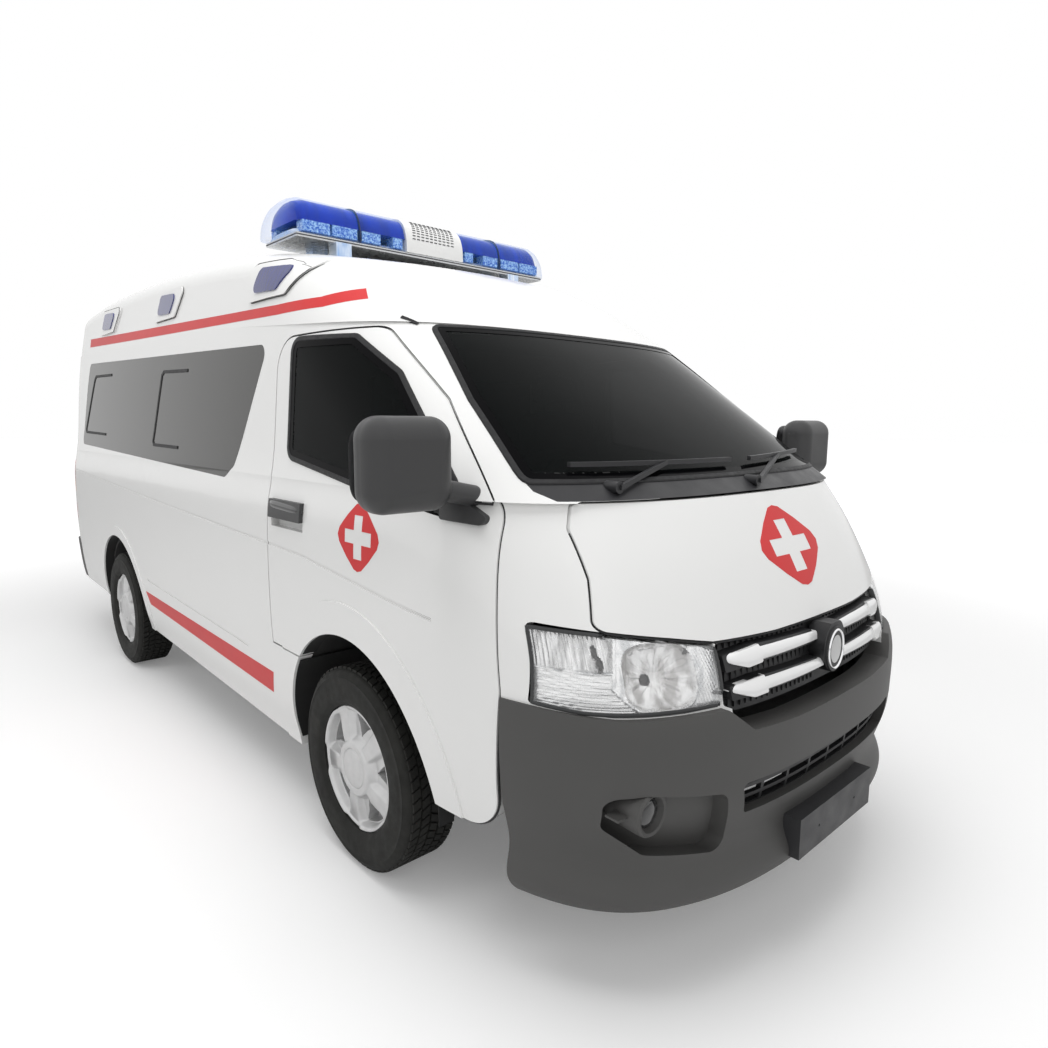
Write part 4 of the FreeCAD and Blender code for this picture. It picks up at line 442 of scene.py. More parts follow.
for place in WHEELS:
    low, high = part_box("tyre_" + place)
    centre = (low + high) / 2
    outward = -1 if centre.y < 0 else 1
    put("tyre_tread_" + place, tyre_mesh(centre, (high.z - low.z) / 2, (high.y - low.y) / 2),
        "wheel_" + place,
        "tyre", replaces=("tyre_" + place,))
    put("wheel_cover_" + place, cover_mesh(centre, outward, COVER_FACE), "wheel_" + place,
        "wheel_silver",
        cover_silver, vent_painted_shade, replaces=("rim_" + place,))

# Painted shell.
# Pressed steel sides, doors, bonnet and fenders under a moulded high roof, all sprayed one gloss white.
# Red film is laid on the roof's sides and above the sills, with a red lozenge on the doors and bonnet.

PAINTED = ("side_right", "side_left", "sliding_door", "roof_cap", "fenders", "door_right", "door_left",
           "bonnet", "tailgate", "roof_lamp_housings", "lightbar_centre")
FILM_PROUD = 0.0007
FILM_DEPTH = 0.0012
FILM_STEP = 0.022
FILM_CUTS = 8
RAY_START = 3.0
SIDES = ((-1, "right"), (1, "left"))
UPPER_STRIPE = ((-2.020, 1.867), (-0.906, 1.825), (-0.213, 1.799), (0.312, 1.779), (0.721, 1.764),
                (0.981, 1.764),
                (1.110, 1.785), (1.160, 1.745), (1.017, 1.728), (0.744, 1.729), (0.332, 1.742),
                (-0.196, 1.758),
                (-0.895, 1.780), (-2.010, 1.817))
LOWER_STRIPE = ((-0.810, 0.497), (0.744, 0.475), (0.715, 0.389), (-0.761, 0.436))
SLIDING_GAP = (-0.475, -0.448)
SLIDING_FRONT = 0.722
EMBLEM_DOOR = (1.388, 1.043)
EMBLEM_BONNET = (0.0, 1.040)
EMBLEM_WIDTH = 0.226
EMBLEM_HEIGHT = 0.196
CROSS_ARM_SHARE = 0.64
CROSS_HALF_SHARE = 0.20
LOZENGE_SHARES = ((0.0, 1.0), (0.18, 0.95), (0.55, 0.62), (0.92, 0.22), (1.0, 0.0))
BONNET_EMBLEM_SCALE = (1.33, 1.05)


def skin_of(*names):
    """A ray-casting tree over some CAD pieces."""
    bm = bmesh.new()
    for name in names:
        bm.from_mesh(nodes[name].data)
    tree = BVHTree.FromBMesh(bm)
    bm.free()
    return tree


def drop_on(skin, start, way):
    """The first point of a skin along a ray, with the normal that faces the ray's start."""
    point, normal, _, _ = skin.ray_cast(Vector(start), Vector(way))
    if point is None:
        point, normal, _, _ = skin.find_nearest(Vector(start) + Vector(way) * RAY_START)
    return point, (normal if normal.dot(Vector(way)) < 0 else -normal)


def onto_side(skin, side):
    """Casts (x, z) places sideways on a skin."""
    return lambda x, z: drop_on(skin, (x, side * RAY_START, z), (0.0, -side, 0.0))


def onto_front(skin):
    """Casts (y, z) places back on a skin from ahead."""
    return lambda y, z: drop_on(skin, (RAY_START, y, z), (-1.0, 0.0, 0.0))


def film(shapes, cast, name):
    """A printed film: flat shapes cut small, dropped on the skin, with a thin closed edge."""
    bm = bmesh.new()
    for shape in shapes:
        bm.faces.new([bm.verts.new((a, b, 0.0)) for a, b in shape])
    bmesh.ops.remove_doubles(bm, verts=bm.verts, dist=0.00001)
    bmesh.ops.triangulate(bm, faces=bm.faces)
    for _ in range(FILM_CUTS):
        long = [edge for edge in bm.edges if edge.calc_length() > FILM_STEP]
        if not long:
            break
        bmesh.ops.subdivide_edges(bm, edges=long, cuts=1)
        bmesh.ops.triangulate(bm, faces=bm.faces)
    bm.verts.index_update()
    spots = [cast(vert.co.x, vert.co.y) for vert in bm.verts]
    count = len(spots)
    points = [p + n * FILM_PROUD for p, n in spots] + [p - n * FILM_DEPTH for p, n in spots]
    faces = [[vert.index for vert in face.verts] for face in bm.faces]
    rim = [(edge.verts[0].index, edge.verts[1].index) for edge in bm.edges if edge.is_boundary]
    bm.free()
    mesh = bpy.data.meshes.new(name)
    under = [[index + count for index in reversed(face)] for face in faces]
    mesh.from_pydata(points, [], faces + under + [(a, b, b + count, a + count) for a, b in rim])
    whole = bmesh.new()
    whole.from_mesh(mesh)
    return mesh_of(whole, name)


paint = finish("white_paint", (0.83, 0.83, 0.82), 0.26, coat_weight=0.4, coat_roughness=0.05)
vary(paint, 0.6, 0.255, 0.265, detail=1.0)
dress(paint, *PAINTED)

red_film = finish("red_film", (0.62, 0.012, 0.014), 0.42)
tint(red_film, 7.0, (0.60, 0.010, 0.012), (0.64, 0.014, 0.016))
emboss(red_film, 500.0, 0.0001, 0.2)



def stripe_part(start, end):
    """The length of the lower stripe between two places along the side."""
    rear_top, front_top, front_foot, rear_foot = LOWER_STRIPE

    def height(rear, front, x):
        return rear[1] + (front[1] - rear[1]) * (x - rear[0]) / (front[0] - rear[0])

    return [(start, height(rear_top, front_top, start)), (end, height(rear_top, front_top, end)),
            (min(end, front_foot[0]), height(rear_foot, front_foot, min(end, front_foot[0]))),
            (max(start, rear_foot[0]), height(rear_foot, front_foot, max(start, rear_foot[0])))]


roof_skin = skin_of("roof_cap")
for side, word in SIDES:
    wall_skin = skin_of("side_" + word, *(["sliding_door"] if side > 0 else []))
    put("upper_stripe_" + word, film([UPPER_STRIPE], onto_side(roof_skin, side), "upper_stripe"),
        "root", "roof_white", red_film)
    lower = [LOWER_STRIPE]
    if side > 0:
        lower = [stripe_part(LOWER_STRIPE[0][0], SLIDING_GAP[0]),
                 stripe_part(SLIDING_GAP[1], SLIDING_FRONT)]
    put("lower_stripe_" + word, film(lower, onto_side(wall_skin, side), "lower_stripe"), "root",
        "body_white", red_film)


def lozenge(centre, width, height):
    """A red lozenge round a plain white cross, as four corner pieces that meet at its tips."""
    shapes = []
    arm, half = CROSS_ARM_SHARE, CROSS_HALF_SHARE
    for across, upward in ((1, 1), (-1, 1), (-1, -1), (1, -1)):
        corner = [(0.0, arm), *LOZENGE_SHARES, (arm, 0.0), (arm, half), (half, half), (half, arm)]
        shapes.append([(centre[0] + across * a * width / 2, centre[1] + upward * b * height / 2)
                       for a, b in corner])
    return shapes


for side, word in SIDES:
    door_film = film(lozenge(EMBLEM_DOOR, EMBLEM_WIDTH, EMBLEM_HEIGHT),
                     onto_side(skin_of("door_" + word), side), "door_emblem")
    put("door_emblem_" + word, door_film, "door_" + word, "body_white", red_film)
across, tall = BONNET_EMBLEM_SCALE
put("bonnet_emblem",
    film(lozenge(EMBLEM_BONNET, EMBLEM_WIDTH * across, EMBLEM_HEIGHT * tall),
         onto_front(skin_of("bonnet")), "bonnet_emblem"), "bonnet", "body_white", red_film)

# Wheel arch liners.
# A black moulded liner lines each arch just inside the painted edge, except where the cab door forms
# the arch.

AXLE_HEIGHT = 0.314
FRONT_AXLE = 1.300
REAR_AXLE = -1.270
ARCHES = ((FRONT_AXLE, 140, 186), (REAR_AXLE, -6, 186))
ARCH_EDGE = 0.421
WALL_AT = 0.86
LINER_STEPS = 40
LINER_RADIUS = 0.4165
LINER_THICK = 0.003
LINER_INNER = 0.590
LINER_INSET = 0.007
TRIM_TURN = (136, -2)
TRIM_STEPS = 48
TRIM_RADIUS = 0.4205
TRIM_THICK = 0.002
TRIM_INSET = 0.009
TRIM_WIDTH = 0.050


def arch_strip(skin, side, axle_x, start, end, steps, radius, thick, inset, inner=None):
    """A strip bent round a wheel arch, from just inside the painted edge to its inner side."""
    rows = []
    for k in range(steps + 1):
        turn = math.radians(start + (end - start) * k / steps)
        c, d = math.cos(turn), math.sin(turn)
        edge = skin.find_nearest(Vector((axle_x + ARCH_EDGE * c, side * WALL_AT,
                                         AXLE_HEIGHT + ARCH_EDGE * d)))[0]
        outer = abs(edge.y) - inset
        back = outer - TRIM_WIDTH if inner is None else inner
        rows.append([(axle_x + r * c, side * y, AXLE_HEIGHT + r * d)
                     for r, y in ((radius, back), (radius, outer), (radius - thick, outer),
                                  (radius - thick, back))])
    return loft(rows, "arch_strip")


liner_black = finish("liner_black", (0.010, 0.010, 0.010), 0.8)
emboss(liner_black, 250.0, 0.0008, 0.4)
put("arch_liners",
    [arch_strip(skin_of("side_" + word), side, *arch, LINER_STEPS, LINER_RADIUS, LINER_THICK,
                LINER_INSET, LINER_INNER) for side, word in SIDES for arch in ARCHES], "root",
    "chassis_black", liner_black)
for side, word in SIDES:
    put("door_arch_trim_" + word,
        arch_strip(skin_of("door_" + word), side, FRONT_AXLE, *TRIM_TURN, TRIM_STEPS, TRIM_RADIUS,
                   TRIM_THICK, TRIM_INSET), "door_" + word, "black_plastic", liner_black)

# Shut lines and window rubbers.
# A black rubber profile is pushed on the flange behind each shut line, and one holds each pane in its
# frame.

WELD = 0.00002
SEAL_STEP = 0.006
SEAL_ASIDE = 0.0030
SEAL_RADIUS = 0.0034
SEAL_DEPTH = 0.0065


def outlines(name, out, least=0.35):
    """Closed loops of (point, normal) round the faces of a CAD piece that look a given way."""
    bm = bmesh.new()
    bm.from_mesh(nodes[name].data)
    bmesh.ops.remove_doubles(bm, verts=bm.verts, dist=WELD)
    out = Vector(out).normalized()
    facing = {face for face in bm.faces if face.normal.dot(out) > least}
    normals = {}
    for face in facing:
        for vert in face.verts:
            normals[vert] = normals.get(vert, Vector()) + face.normal * face.calc_area()
    links = {}
    for edge in bm.edges:
        if sum(face in facing for face in edge.link_faces) == 1:
            a, b = edge.verts
            links.setdefault(a, []).append(b)
            links.setdefault(b, []).append(a)
    loops = []
    while links:
        start = next(iter(links))
        loop = [start]
        here = start
        while links.get(here):
            there = links[here].pop()
            links[there].remove(here)
            if not links[here]:
                del links[here]
            here = there
            if here is start:
                break
            loop.append(here)
        links = {vert: ends for vert, ends in links.items() if ends}
        loops.append([(vert.co.copy(), normals[vert].normalized()) for vert in loop])
    bm.free()
    return sorted(loops, key=lambda loop: -sum((a[0] - b[0]).length for a, b in zip(loop, loop[1:])))


def spaced(loop, step):
    """A loop with its points at least a step apart, so that a strip along it stays smooth."""
    kept = [loop[0]]
    for spot in loop[1:]:
        if (spot[0] - kept[-1][0]).length >= step:
            kept.append(spot)
    if len(kept) > 3 and (kept[-1][0] - kept[0][0]).length < step * 0.5:
        kept.pop()
    return kept


def swept(loop, section, name, looped=True, sharp=math.radians(40)):
    """A strip of one section drawn along a path; the section is (aside, above) pairs."""
    rows = []
    count = len(loop)
    for k, (point, up) in enumerate(loop):
        before = loop[k - 1][0] if k or looped else point
        after = loop[(k + 1) % count][0] if k + 1 < count or looped else point
        along = (after - before).normalized()
        aside = along.cross(up).normalized()
        up = aside.cross(along)
        rows.append([point + aside * a + up * b for a, b in section])
    return loft(rows, name, looped=looped, sharp=sharp)


def outward_of(loop):
    """1 where 'aside' points out of the loop, or -1 where it points in."""
    middle = sum((point for point, _ in loop), Vector()) / len(loop)
    count = 0.0
    for k, (point, up) in enumerate(loop):
        along = loop[(k + 1) % len(loop)][0] - loop[k - 1][0]
        count += along.cross(up).dot(point - middle)
    return 1.0 if count > 0 else -1.0


def round_strip(loop, aside, depth, radius, points, name):
    """A round strip beside a closed loop, sunk under the skin: rubber seals, and painted shade round the
    pods.
    """
    way = outward_of(loop)
    turns = [math.tau * k / points for k in range(points)]
    return swept(loop,
                 [(way * aside + radius * math.cos(t), -depth + radius * math.sin(t)) for t in turns],
                 name)


# This finish serves the rubber seals and frames, and the painted shade lines round the roof pods.
seal_rubber_and_shade = finish("seal_rubber_and_shade", (0.012, 0.012, 0.013), 0.6)
vary(seal_rubber_and_shade, 80.0, 0.5, 0.7)
emboss(seal_rubber_and_shade, 900.0, 0.0002, 0.3)

for name, node, out, least in (("door_seal_right", "door_right", (0.0, -1.0, 0.0), 0.35),
                               ("door_seal_left", "door_left", (0.0, 1.0, 0.0), 0.35),
                               ("sliding_door_seal", "sliding_door", (0.0, 1.0, 0.0), 0.35),
                               ("tailgate_seal", "tailgate", (-1.0, 0.0, 0.0), 0.35),
                               ("bonnet_seal", "bonnet", (0.75, 0.0, 0.66), 0.2)):
    loop = spaced(outlines(node, out, least)[0], SEAL_STEP)
    put(name, round_strip(loop, SEAL_ASIDE, SEAL_DEPTH, SEAL_RADIUS, 8, name), "root", "black_plastic",
        seal_rubber_and_shade)

# Glass.
# A laminated windscreen, toughened door panes, and darker privacy panes bonded flush in the load space.

# The windscreen and cab door glass are near-black and mostly opaque: the glass's own tint, and painted
# shade for the dark cab behind.
windscreen_glass = clear_plastic("windscreen_glass", (0.004, 0.005, 0.005), 0.70, 0.93, 0.015,
                                 specular_ior_level=0.04)
dress(windscreen_glass, "windscreen", "door_glass_right", "door_glass_left")
cabin_glass = finish("cabin_glass", (0.036, 0.035, 0.032), 0.12, specular_ior_level=0.35)
vary(cabin_glass, 2.0, 0.08, 0.12)
dress(cabin_glass, "side_glass", "tailgate_glass")

glass_border = finish("glass_border", (0.003, 0.003, 0.0035), 0.03, specular_ior_level=0.04)
vary(glass_border, 20.0, 0.02, 0.05)
GASKET_STEP = 0.009
GASKET_SECTION = ((-0.010, 0.0016), (-0.0095, 0.0028), (-0.008, 0.0042), (0.004, 0.0042),
                  (0.007, 0.0015), (0.007, -0.004), (0.0014, -0.004), (0.0012, 0.0014))
BORDER_SECTION = ((-0.031, 0.0008), (-0.031, 0.0014), (-0.009, 0.0018), (-0.009, 0.0008))


def rimmed(loop, section, name):
    """A strip round a closed loop, its section given outwards from the loop."""
    way = outward_of(loop)
    return swept(loop, [(way * aside, above) for aside, above in section], name)


for pane, gasket, out, least, body in (
        ("door_glass_right", "door_glass_gasket_right", (0.0, -1.0, 0.0), 0.5, "door_right"),
        ("door_glass_left", "door_glass_gasket_left", (0.0, 1.0, 0.0), 0.5, "door_left"),
        ("windscreen", "windscreen_gasket", (0.75, 0.0, 0.66), 0.75, "root"),
        ("tailgate_glass", "tailgate_gasket", (-1.0, 0.0, 0.0), 0.5, "tailgate")):
    loop = spaced(outlines(pane, out, least)[0], GASKET_STEP)
    put(gasket, rimmed(loop, GASKET_SECTION, "gasket"), body, "black_plastic", seal_rubber_and_shade)
    if pane != "tailgate_glass":
        put(pane + "_border", rimmed(loop, BORDER_SECTION, "border"), body, "clear_glass", glass_border)

# Headlamps.
# A clear moulded lens over one silvered reflector: a round-cornered main bowl, a fluted side lamp and a
# ribbed indicator, with bright dividers between them. A dark rubber closes the gap round the lens.

LAMP_OUTER = (-0.784, -0.7735)
LAMP_INNER = (-0.449, -0.443)
LAMP_FOOT = ((-0.784, 0.740), (-0.730, 0.7315), (-0.449, 0.7315))
LAMP_TOP = ((-0.7735, 0.908), (-0.693, 0.9005), (-0.544, 0.8775), (-0.443, 0.8605))
LAMP_COLUMNS = 150
LAMP_ROWS = 64
LAMP_MIDDLE = 0.80
LENS_THICK = 0.003
REFLECTOR_THICK = 0.003
BOWL_CENTRE = (0.294, 0.806)
BOWL_HALF = (0.088, 0.074)
BOWL_DEPTH = 0.040
BOWL_POWER = 3.2
BOWL_RAYS = 16
BULB_HOLE = (0.268, 0.800)
BULB_HOLE_RADIUS = 0.014
SIDE_BULB = ((0.150, 0.862), (0.158, 0.838))
SIDE_BULB_HALF = (0.007, 0.016)
CORNER_SLOT = (0.372, 0.862)
CORNER_SLOT_HALF = (0.006, 0.013)
FLUTE_PITCH = 0.011
BLINKER_PITCH = 0.0068
CORNER_PITCH = 0.008
DIVIDER = ((0.206, 0.905), (0.192, 0.850), (0.180, 0.786), (0.209, 0.757), (0.236, 0.737),
           (0.262, 0.724))
SIDE_DIVIDER = ((-0.01, 0.8215), (0.181, 0.8185))
DIVIDER_DEPTH = 0.0042
LAMP_EDGE = ((-0.0035, -0.003), (-0.0035, 0.0012), (0.0, 0.0022), (0.0045, 0.0012), (0.0055, -0.002),
             (0.0055, -0.012), (-0.001, -0.012))


def between_points(points, at):
    """The second value of a row of pairs, read between them at a first value."""
    if at <= points[0][0]:
        return points[0][1]
    for (a, value), (b, following) in zip(points, points[1:]):
        if at <= b:
            return value + (following - value) * (at - a) / (b - a)
    return points[-1][1]


def gap_to(path, spot):
    """The distance of a flat spot from a path."""
    least = 1.0
    spot = Vector(spot)
    for a, b in zip(path, path[1:]):
        a, b = Vector(a), Vector(b)
        share = min(max((spot - a).dot(b - a) / (b - a).length_squared, 0.0), 1.0)
        least = min(least, (spot - a - (b - a) * share).length)
    return least


def within(spot, centre, half):
    """How far a spot lies out of a centre, in shares of a half width and height."""
    return math.hypot((spot[0] - centre[0]) / half[0], (spot[1] - centre[1]) / half[1])


def lamp_zone(along, height):
    """Depth and finish of the reflector: 0 bowl, 1 flutes, 2 ribs, 3 clear corner, 4 dark."""
    spot = (along, height)
    ridge = 1 - ease(gap_to(DIVIDER, spot), 0.0025, 0.006)
    split = between_points(SIDE_DIVIDER, along)
    if along < between_points(sorted((z, s) for s, z in DIVIDER), height):
        ridge = max(ridge, 1 - ease(abs(height - split), 0.0015, 0.004))
        if height <= split:
            depth, kind = 0.009 + 0.0011 * math.sin(height * math.tau / BLINKER_PITCH), 2
        elif any(within(spot, bulb, SIDE_BULB_HALF) < 1 for bulb in SIDE_BULB):
            depth, kind = 0.017, 4
        else:
            depth, kind = 0.013 + 0.0016 * math.sin(along * math.tau / FLUTE_PITCH), 1
    else:
        aside, above = along - BOWL_CENTRE[0], height - BOWL_CENTRE[1]
        out = (abs(aside) / BOWL_HALF[0]) ** BOWL_POWER + (abs(above) / BOWL_HALF[1]) ** BOWL_POWER
        out **= 1 / BOWL_POWER
        if out < 1:
            rays = 0.0016 * math.sin(math.atan2(above, aside) * BOWL_RAYS) * ease(out, 0.2, 0.5)
            depth, kind = 0.009 + BOWL_DEPTH * (1 - out ** 2) ** 0.6 + rays, 0
            if math.dist(spot, BULB_HOLE) < BULB_HOLE_RADIUS:
                depth, kind = depth + 0.008, 4
        elif aside > BOWL_HALF[0] * 0.98:
            depth, kind = 0.011 + 0.0009 * math.sin((along + height * 0.35) * math.tau / CORNER_PITCH), 3
        else:
            depth, kind = 0.007, 3
        ridge = max(ridge, (1 - ease(abs(out - 1.03), 0.015, 0.05)) * 0.8)
        if within(spot, CORNER_SLOT, CORNER_SLOT_HALF) < 1:
            kind = 4
    return depth * (1 - ridge) + DIVIDER_DEPTH * ridge, (3 if ridge > 0.6 else kind)


def lamp_grid(side):
    """Places on the lamp's face, evenly spaced along it, with their normals and their arc length."""
    cast = onto_front(skin_of("headlamps"))
    start, end = sum(LAMP_OUTER) / 2, sum(LAMP_INNER) / 2
    walk = [start + (end - start) * k / 200 for k in range(201)]
    spots = [cast(y * -side, LAMP_MIDDLE)[0] for y in walk]
    length = [0.0]
    for a, b in zip(spots, spots[1:]):
        length.append(length[-1] + (b - a).length)
    reach = list(zip(length, walk))
    grid = []
    for row in range(LAMP_ROWS + 1):
        up = row / LAMP_ROWS
        line = []
        for column in range(LAMP_COLUMNS + 1):
            share = column / LAMP_COLUMNS
            along = length[-1] * share
            lean = (LAMP_OUTER[1] - LAMP_OUTER[0]) * (1 - share) + (LAMP_INNER[1] - LAMP_INNER[0]) * share
            y = between_points(reach, along) + lean * (up - 0.5)
            foot, top = between_points(LAMP_FOOT, y), between_points(LAMP_TOP, y)
            line.append((*cast(y * -side, foot + (top - foot) * up), along))
        grid.append(line)
    return grid


def sheet_of(front, back, kinds, name, rim_kind, sharp=math.radians(32)):
    """A closed thin form between two grids of points, with a finish number for each front cell."""
    bm = bmesh.new()
    fronts = [[bm.verts.new(point) for point in row] for row in front]
    backs = [[bm.verts.new(point) for point in row] for row in back]
    rows, columns = len(front) - 1, len(front[0]) - 1
    for r in range(rows):
        for c in range(columns):
            face = bm.faces.new((fronts[r][c], fronts[r][c + 1], fronts[r + 1][c + 1],
                                 fronts[r + 1][c]))
            face.material_index = kinds[r][c] if kinds else 0
            face = bm.faces.new((backs[r][c], backs[r + 1][c], backs[r + 1][c + 1], backs[r][c + 1]))
            face.material_index = rim_kind
    edge = [(0, c) for c in range(columns)] + [(r, columns) for r in range(rows)]
    edge += [(rows, c) for c in range(columns, 0, -1)] + [(r, 0) for r in range(rows, 0, -1)]
    for (r, c), (q, d) in zip(edge, edge[1:] + edge[:1]):
        bm.faces.new((fronts[r][c], backs[r][c], backs[q][d], fronts[q][d])).material_index = rim_kind
    return mesh_of(bm, name, sharp)


def silvered(name, dark, light, scale, stretch, roughness=0.12):
    """Vacuum-silvered plastic whose painted reflections, streaks of light and dark, follow its flutes."""
    material = finish(name, light, roughness, metallic=0.85)
    tint(material, scale, dark, light, low=0.38, high=0.58, detail=4.0, stretch=stretch)
    vary(material, 50.0, roughness, roughness + 0.12)
    return material


# The reflector finishes below carry painted reflections as streaks in their colour.
bowl_silver = silvered("bowl_silver", (0.50, 0.49, 0.48), (0.98, 0.98, 0.98), 30.0, (1.0, 1.2, 0.35))
flute_silver = silvered("flute_silver", (0.62, 0.62, 0.62), (0.97, 0.97, 0.97), 60.0, (1.0, 1.0, 0.12),
                        0.2)
rib_silver = silvered("rib_silver", (0.70, 0.70, 0.70), (0.96, 0.96, 0.96), 90.0, (0.08, 0.08, 1.0),
                      0.2)
clear_rib = silvered("clear_rib", (0.66, 0.67, 0.68), (0.98, 0.98, 0.98), 50.0, (1.0, 1.0, 0.4), 0.2)
socket_dark = finish("bulb_socket", (0.035, 0.034, 0.033), 0.4)
vary(socket_dark, 90.0, 0.3, 0.5)
lamp_back = finish("lamp_back", (0.03, 0.03, 0.03), 0.6)
emboss(lamp_back, 500.0, 0.0002, 0.3)
lens_clear = clear_plastic("lens_clear", (0.95, 0.96, 0.97), 0.06, 0.40, coat_weight=0.6)
lamp_rubber = finish("lamp_rubber", (0.035, 0.036, 0.037), 0.5)
vary(lamp_rubber, 60.0, 0.42, 0.6)

lenses, reflectors, rubbers = [], [], []
for side in (-1, 1):
    grid = lamp_grid(side)
    faces = [[p for p, n, s in row] for row in grid[::2]]
    inner = [[p - n * LENS_THICK for p, n, s in row] for row in grid[::2]]
    lenses.append(sheet_of(faces, inner, None, "lens", 0))
    zones = [[lamp_zone(s, p.z) for p, n, s in row] for row in grid]
    bright = [[p - n * zone[0] for (p, n, s), zone in zip(row, line)] for row, line in zip(grid, zones)]
    behind = [[p - n * (zone[0] + REFLECTOR_THICK) for (p, n, s), zone in zip(row, line)]
              for row, line in zip(grid, zones)]
    kinds = [[zone[1] for zone in line] for line in zones]
    reflectors.append(dyed(sheet_of(bright, behind, kinds, "reflector", 5, math.radians(25)),
                           bowl_silver, flute_silver, rib_silver, clear_rib, socket_dark, lamp_back))
    ring = [grid[0][c] for c in range(0, LAMP_COLUMNS, 3)] + [grid[r][-1]
                                                              for r in range(0, LAMP_ROWS, 4)]
    ring += [grid[-1][c] for c in range(LAMP_COLUMNS, 0, -3)] + [grid[r][0]
                                                                 for r in range(LAMP_ROWS, 0, -4)]
    rubbers.append(rimmed([(p, n) for p, n, s in ring], LAMP_EDGE, "lamp_rubber"))
put("headlamp_reflectors", reflectors, "root", "lamp_clear", replaces=("headlamps",))
put("headlamp_lenses", lenses, "root", "lamp_clear", lens_clear, replaces=("headlamps",))
put("headlamp_rubbers", rubbers, "root", "black_plastic", lamp_rubber)

# Grille and front bumper.
# Two silvered bars step down behind deeper end plates in a black moulded grille and meet at an oval.
# The bumper is one grained charcoal moulding with an intake, two fog lamp pockets and a blank plate.

BAR_PLATES = (((-0.428, 0.8215, 0.8205), (-0.408, 0.8360, 0.8140), (-0.361, 0.8400, 0.7995),
               (-0.310, 0.8440, 0.8030)),
              ((-0.424, 0.7535, 0.7520), (-0.404, 0.7675, 0.7455), (-0.357, 0.7700, 0.7310),
               (-0.310, 0.7730, 0.7330)))
BAR_RUNS = (((-0.320, 0.8360, 0.8070), (-0.180, 0.8345, 0.8080), (-0.046, 0.8300, 0.8090)),
            ((-0.320, 0.7660, 0.7380), (-0.180, 0.7650, 0.7390), (-0.046, 0.7620, 0.7410)))
BAR_CASTS = (0.8200, 0.7520)
BAR_LEAN = -0.34
BAR_STEP = 0.008
BAR_FACE = ((0.0, -0.014), (0.0, 0.0), (0.10, 0.0028), (0.35, 0.0042), (0.65, 0.0042), (0.90, 0.0028),
            (1.0, 0.0), (1.0, -0.014))
BAR_CAST_SPAN = (-0.405, -0.072)
PLATE_PROUD = 0.006
RUN_PROUD = 0.002
RIB_PITCH = 0.0205
RIB_HALF = 0.0011
RIB_GROUPS = ((0.706, 0.736), (0.767, 0.803), (0.840, 0.853))
OVAL_CENTRE = Vector((2.3835, 0.0, 0.7785))
OVAL_HALF = (0.043, 0.055)


def turned_ahead(profile, centre, steps, name, squash_y=1.0, squash_z=1.0, sharp=math.radians(32)):
    """A profile of (forward, radius) pairs turned round an axis that points ahead."""
    rows = []
    for x, r in profile:
        rows.append([centre + Vector((x, squash_y * r * math.cos(math.tau * k / steps),
                                      squash_z * r * math.sin(math.tau * k / steps)))
                     for k in range(steps)])
    return loft(rows, name, sharp=sharp)


onto_grille = onto_front(skin_of("grille"))


def bar(stations, cast_z, proud, side):
    """One bar of the grille between its stations of (y, top, foot), with a softly crowned face."""
    rows = []
    first, last = stations[0][0], stations[-1][0]
    count = max(6, round((last - first) / BAR_STEP))
    for k in range(count + 1):
        y = first + (last - first) * k / count
        top = between_points([(a, b) for a, b, c in stations], y)
        foot = between_points([(a, c) for a, b, c in stations], y)
        cast_y = min(max(y, BAR_CAST_SPAN[0]), BAR_CAST_SPAN[1])
        x = onto_grille(cast_y, cast_z)[0].x
        if y < cast_y:
            x += (y - cast_y) * 1.1
        ring = []
        for share, ahead in BAR_FACE:
            z = foot + (top - foot) * share
            ring.append((x + proud + ahead + BAR_LEAN * (z - cast_z), -side * y, z))
        rows.append(ring)
    return loft(rows, "bar", sharp=math.radians(38))


def box_mesh(low, high, name="box"):
    """A plain block between two corners."""
    (x, y, z), (u, v, w) = low, high
    return loft([[(x, y, z), (u, y, z), (u, v, z), (x, v, z)],
                 [(x, y, w), (u, y, w), (u, v, w), (x, v, w)]], name)


bar_silver = finish("bar_silver", (0.86, 0.86, 0.86), 0.20, metallic=0.2, coat_weight=0.5)
vary(bar_silver, 25.0, 0.16, 0.26)
emboss(bar_silver, 1400.0, 0.00005, 0.2, detail=1.0)
chrome = finish("chrome", (0.90, 0.90, 0.91), 0.07, metallic=1.0)
vary(chrome, 40.0, 0.05, 0.12)
grille_black = finish("grille_black", (0.012, 0.012, 0.013), 0.45)
vary(grille_black, 30.0, 0.38, 0.55)
emboss(grille_black, 900.0, 0.0003, 0.3, detail=1.0)
dress(grille_black, "grille", "intake_grille")

put("grille_bars",
    [bar(stations, cast_z, proud, side) for side in (-1, 1)
     for proud, group in ((PLATE_PROUD, BAR_PLATES), (RUN_PROUD, BAR_RUNS))
     for stations, cast_z in zip(group, BAR_CASTS)], "root", "silver_bar", bar_silver)

ribs = []
for k in range(-20, 21):
    y = k * RIB_PITCH
    if abs(y) < 0.06:
        continue
    for low, high in RIB_GROUPS:
        base = min(onto_grille(y, z)[0].x
                   for z in (low + 0.004, (low + high) / 2, high - 0.004)) - 0.002
        ribs.append(box_mesh((base, y - RIB_HALF, low), (base + 0.009, y + RIB_HALF, high)))
put("grille_ribs", ribs, "root", "grille_black", grille_black)

edge_line = []
for k in range(-42, 43):
    y = k * 0.0104
    edge_line.append((Vector((onto_grille(y, 0.8515)[0].x + 0.001, y, 0.8535)),
                      Vector((1.0, 0.0, 0.35)).normalized()))
put("grille_top_line",
    swept(edge_line, ((-0.0016, -0.002), (-0.0016, 0.0015), (0.0016, 0.0015), (0.0016, -0.002)),
          "grille_top_line", looped=False), "root", "silver_bar", chrome)

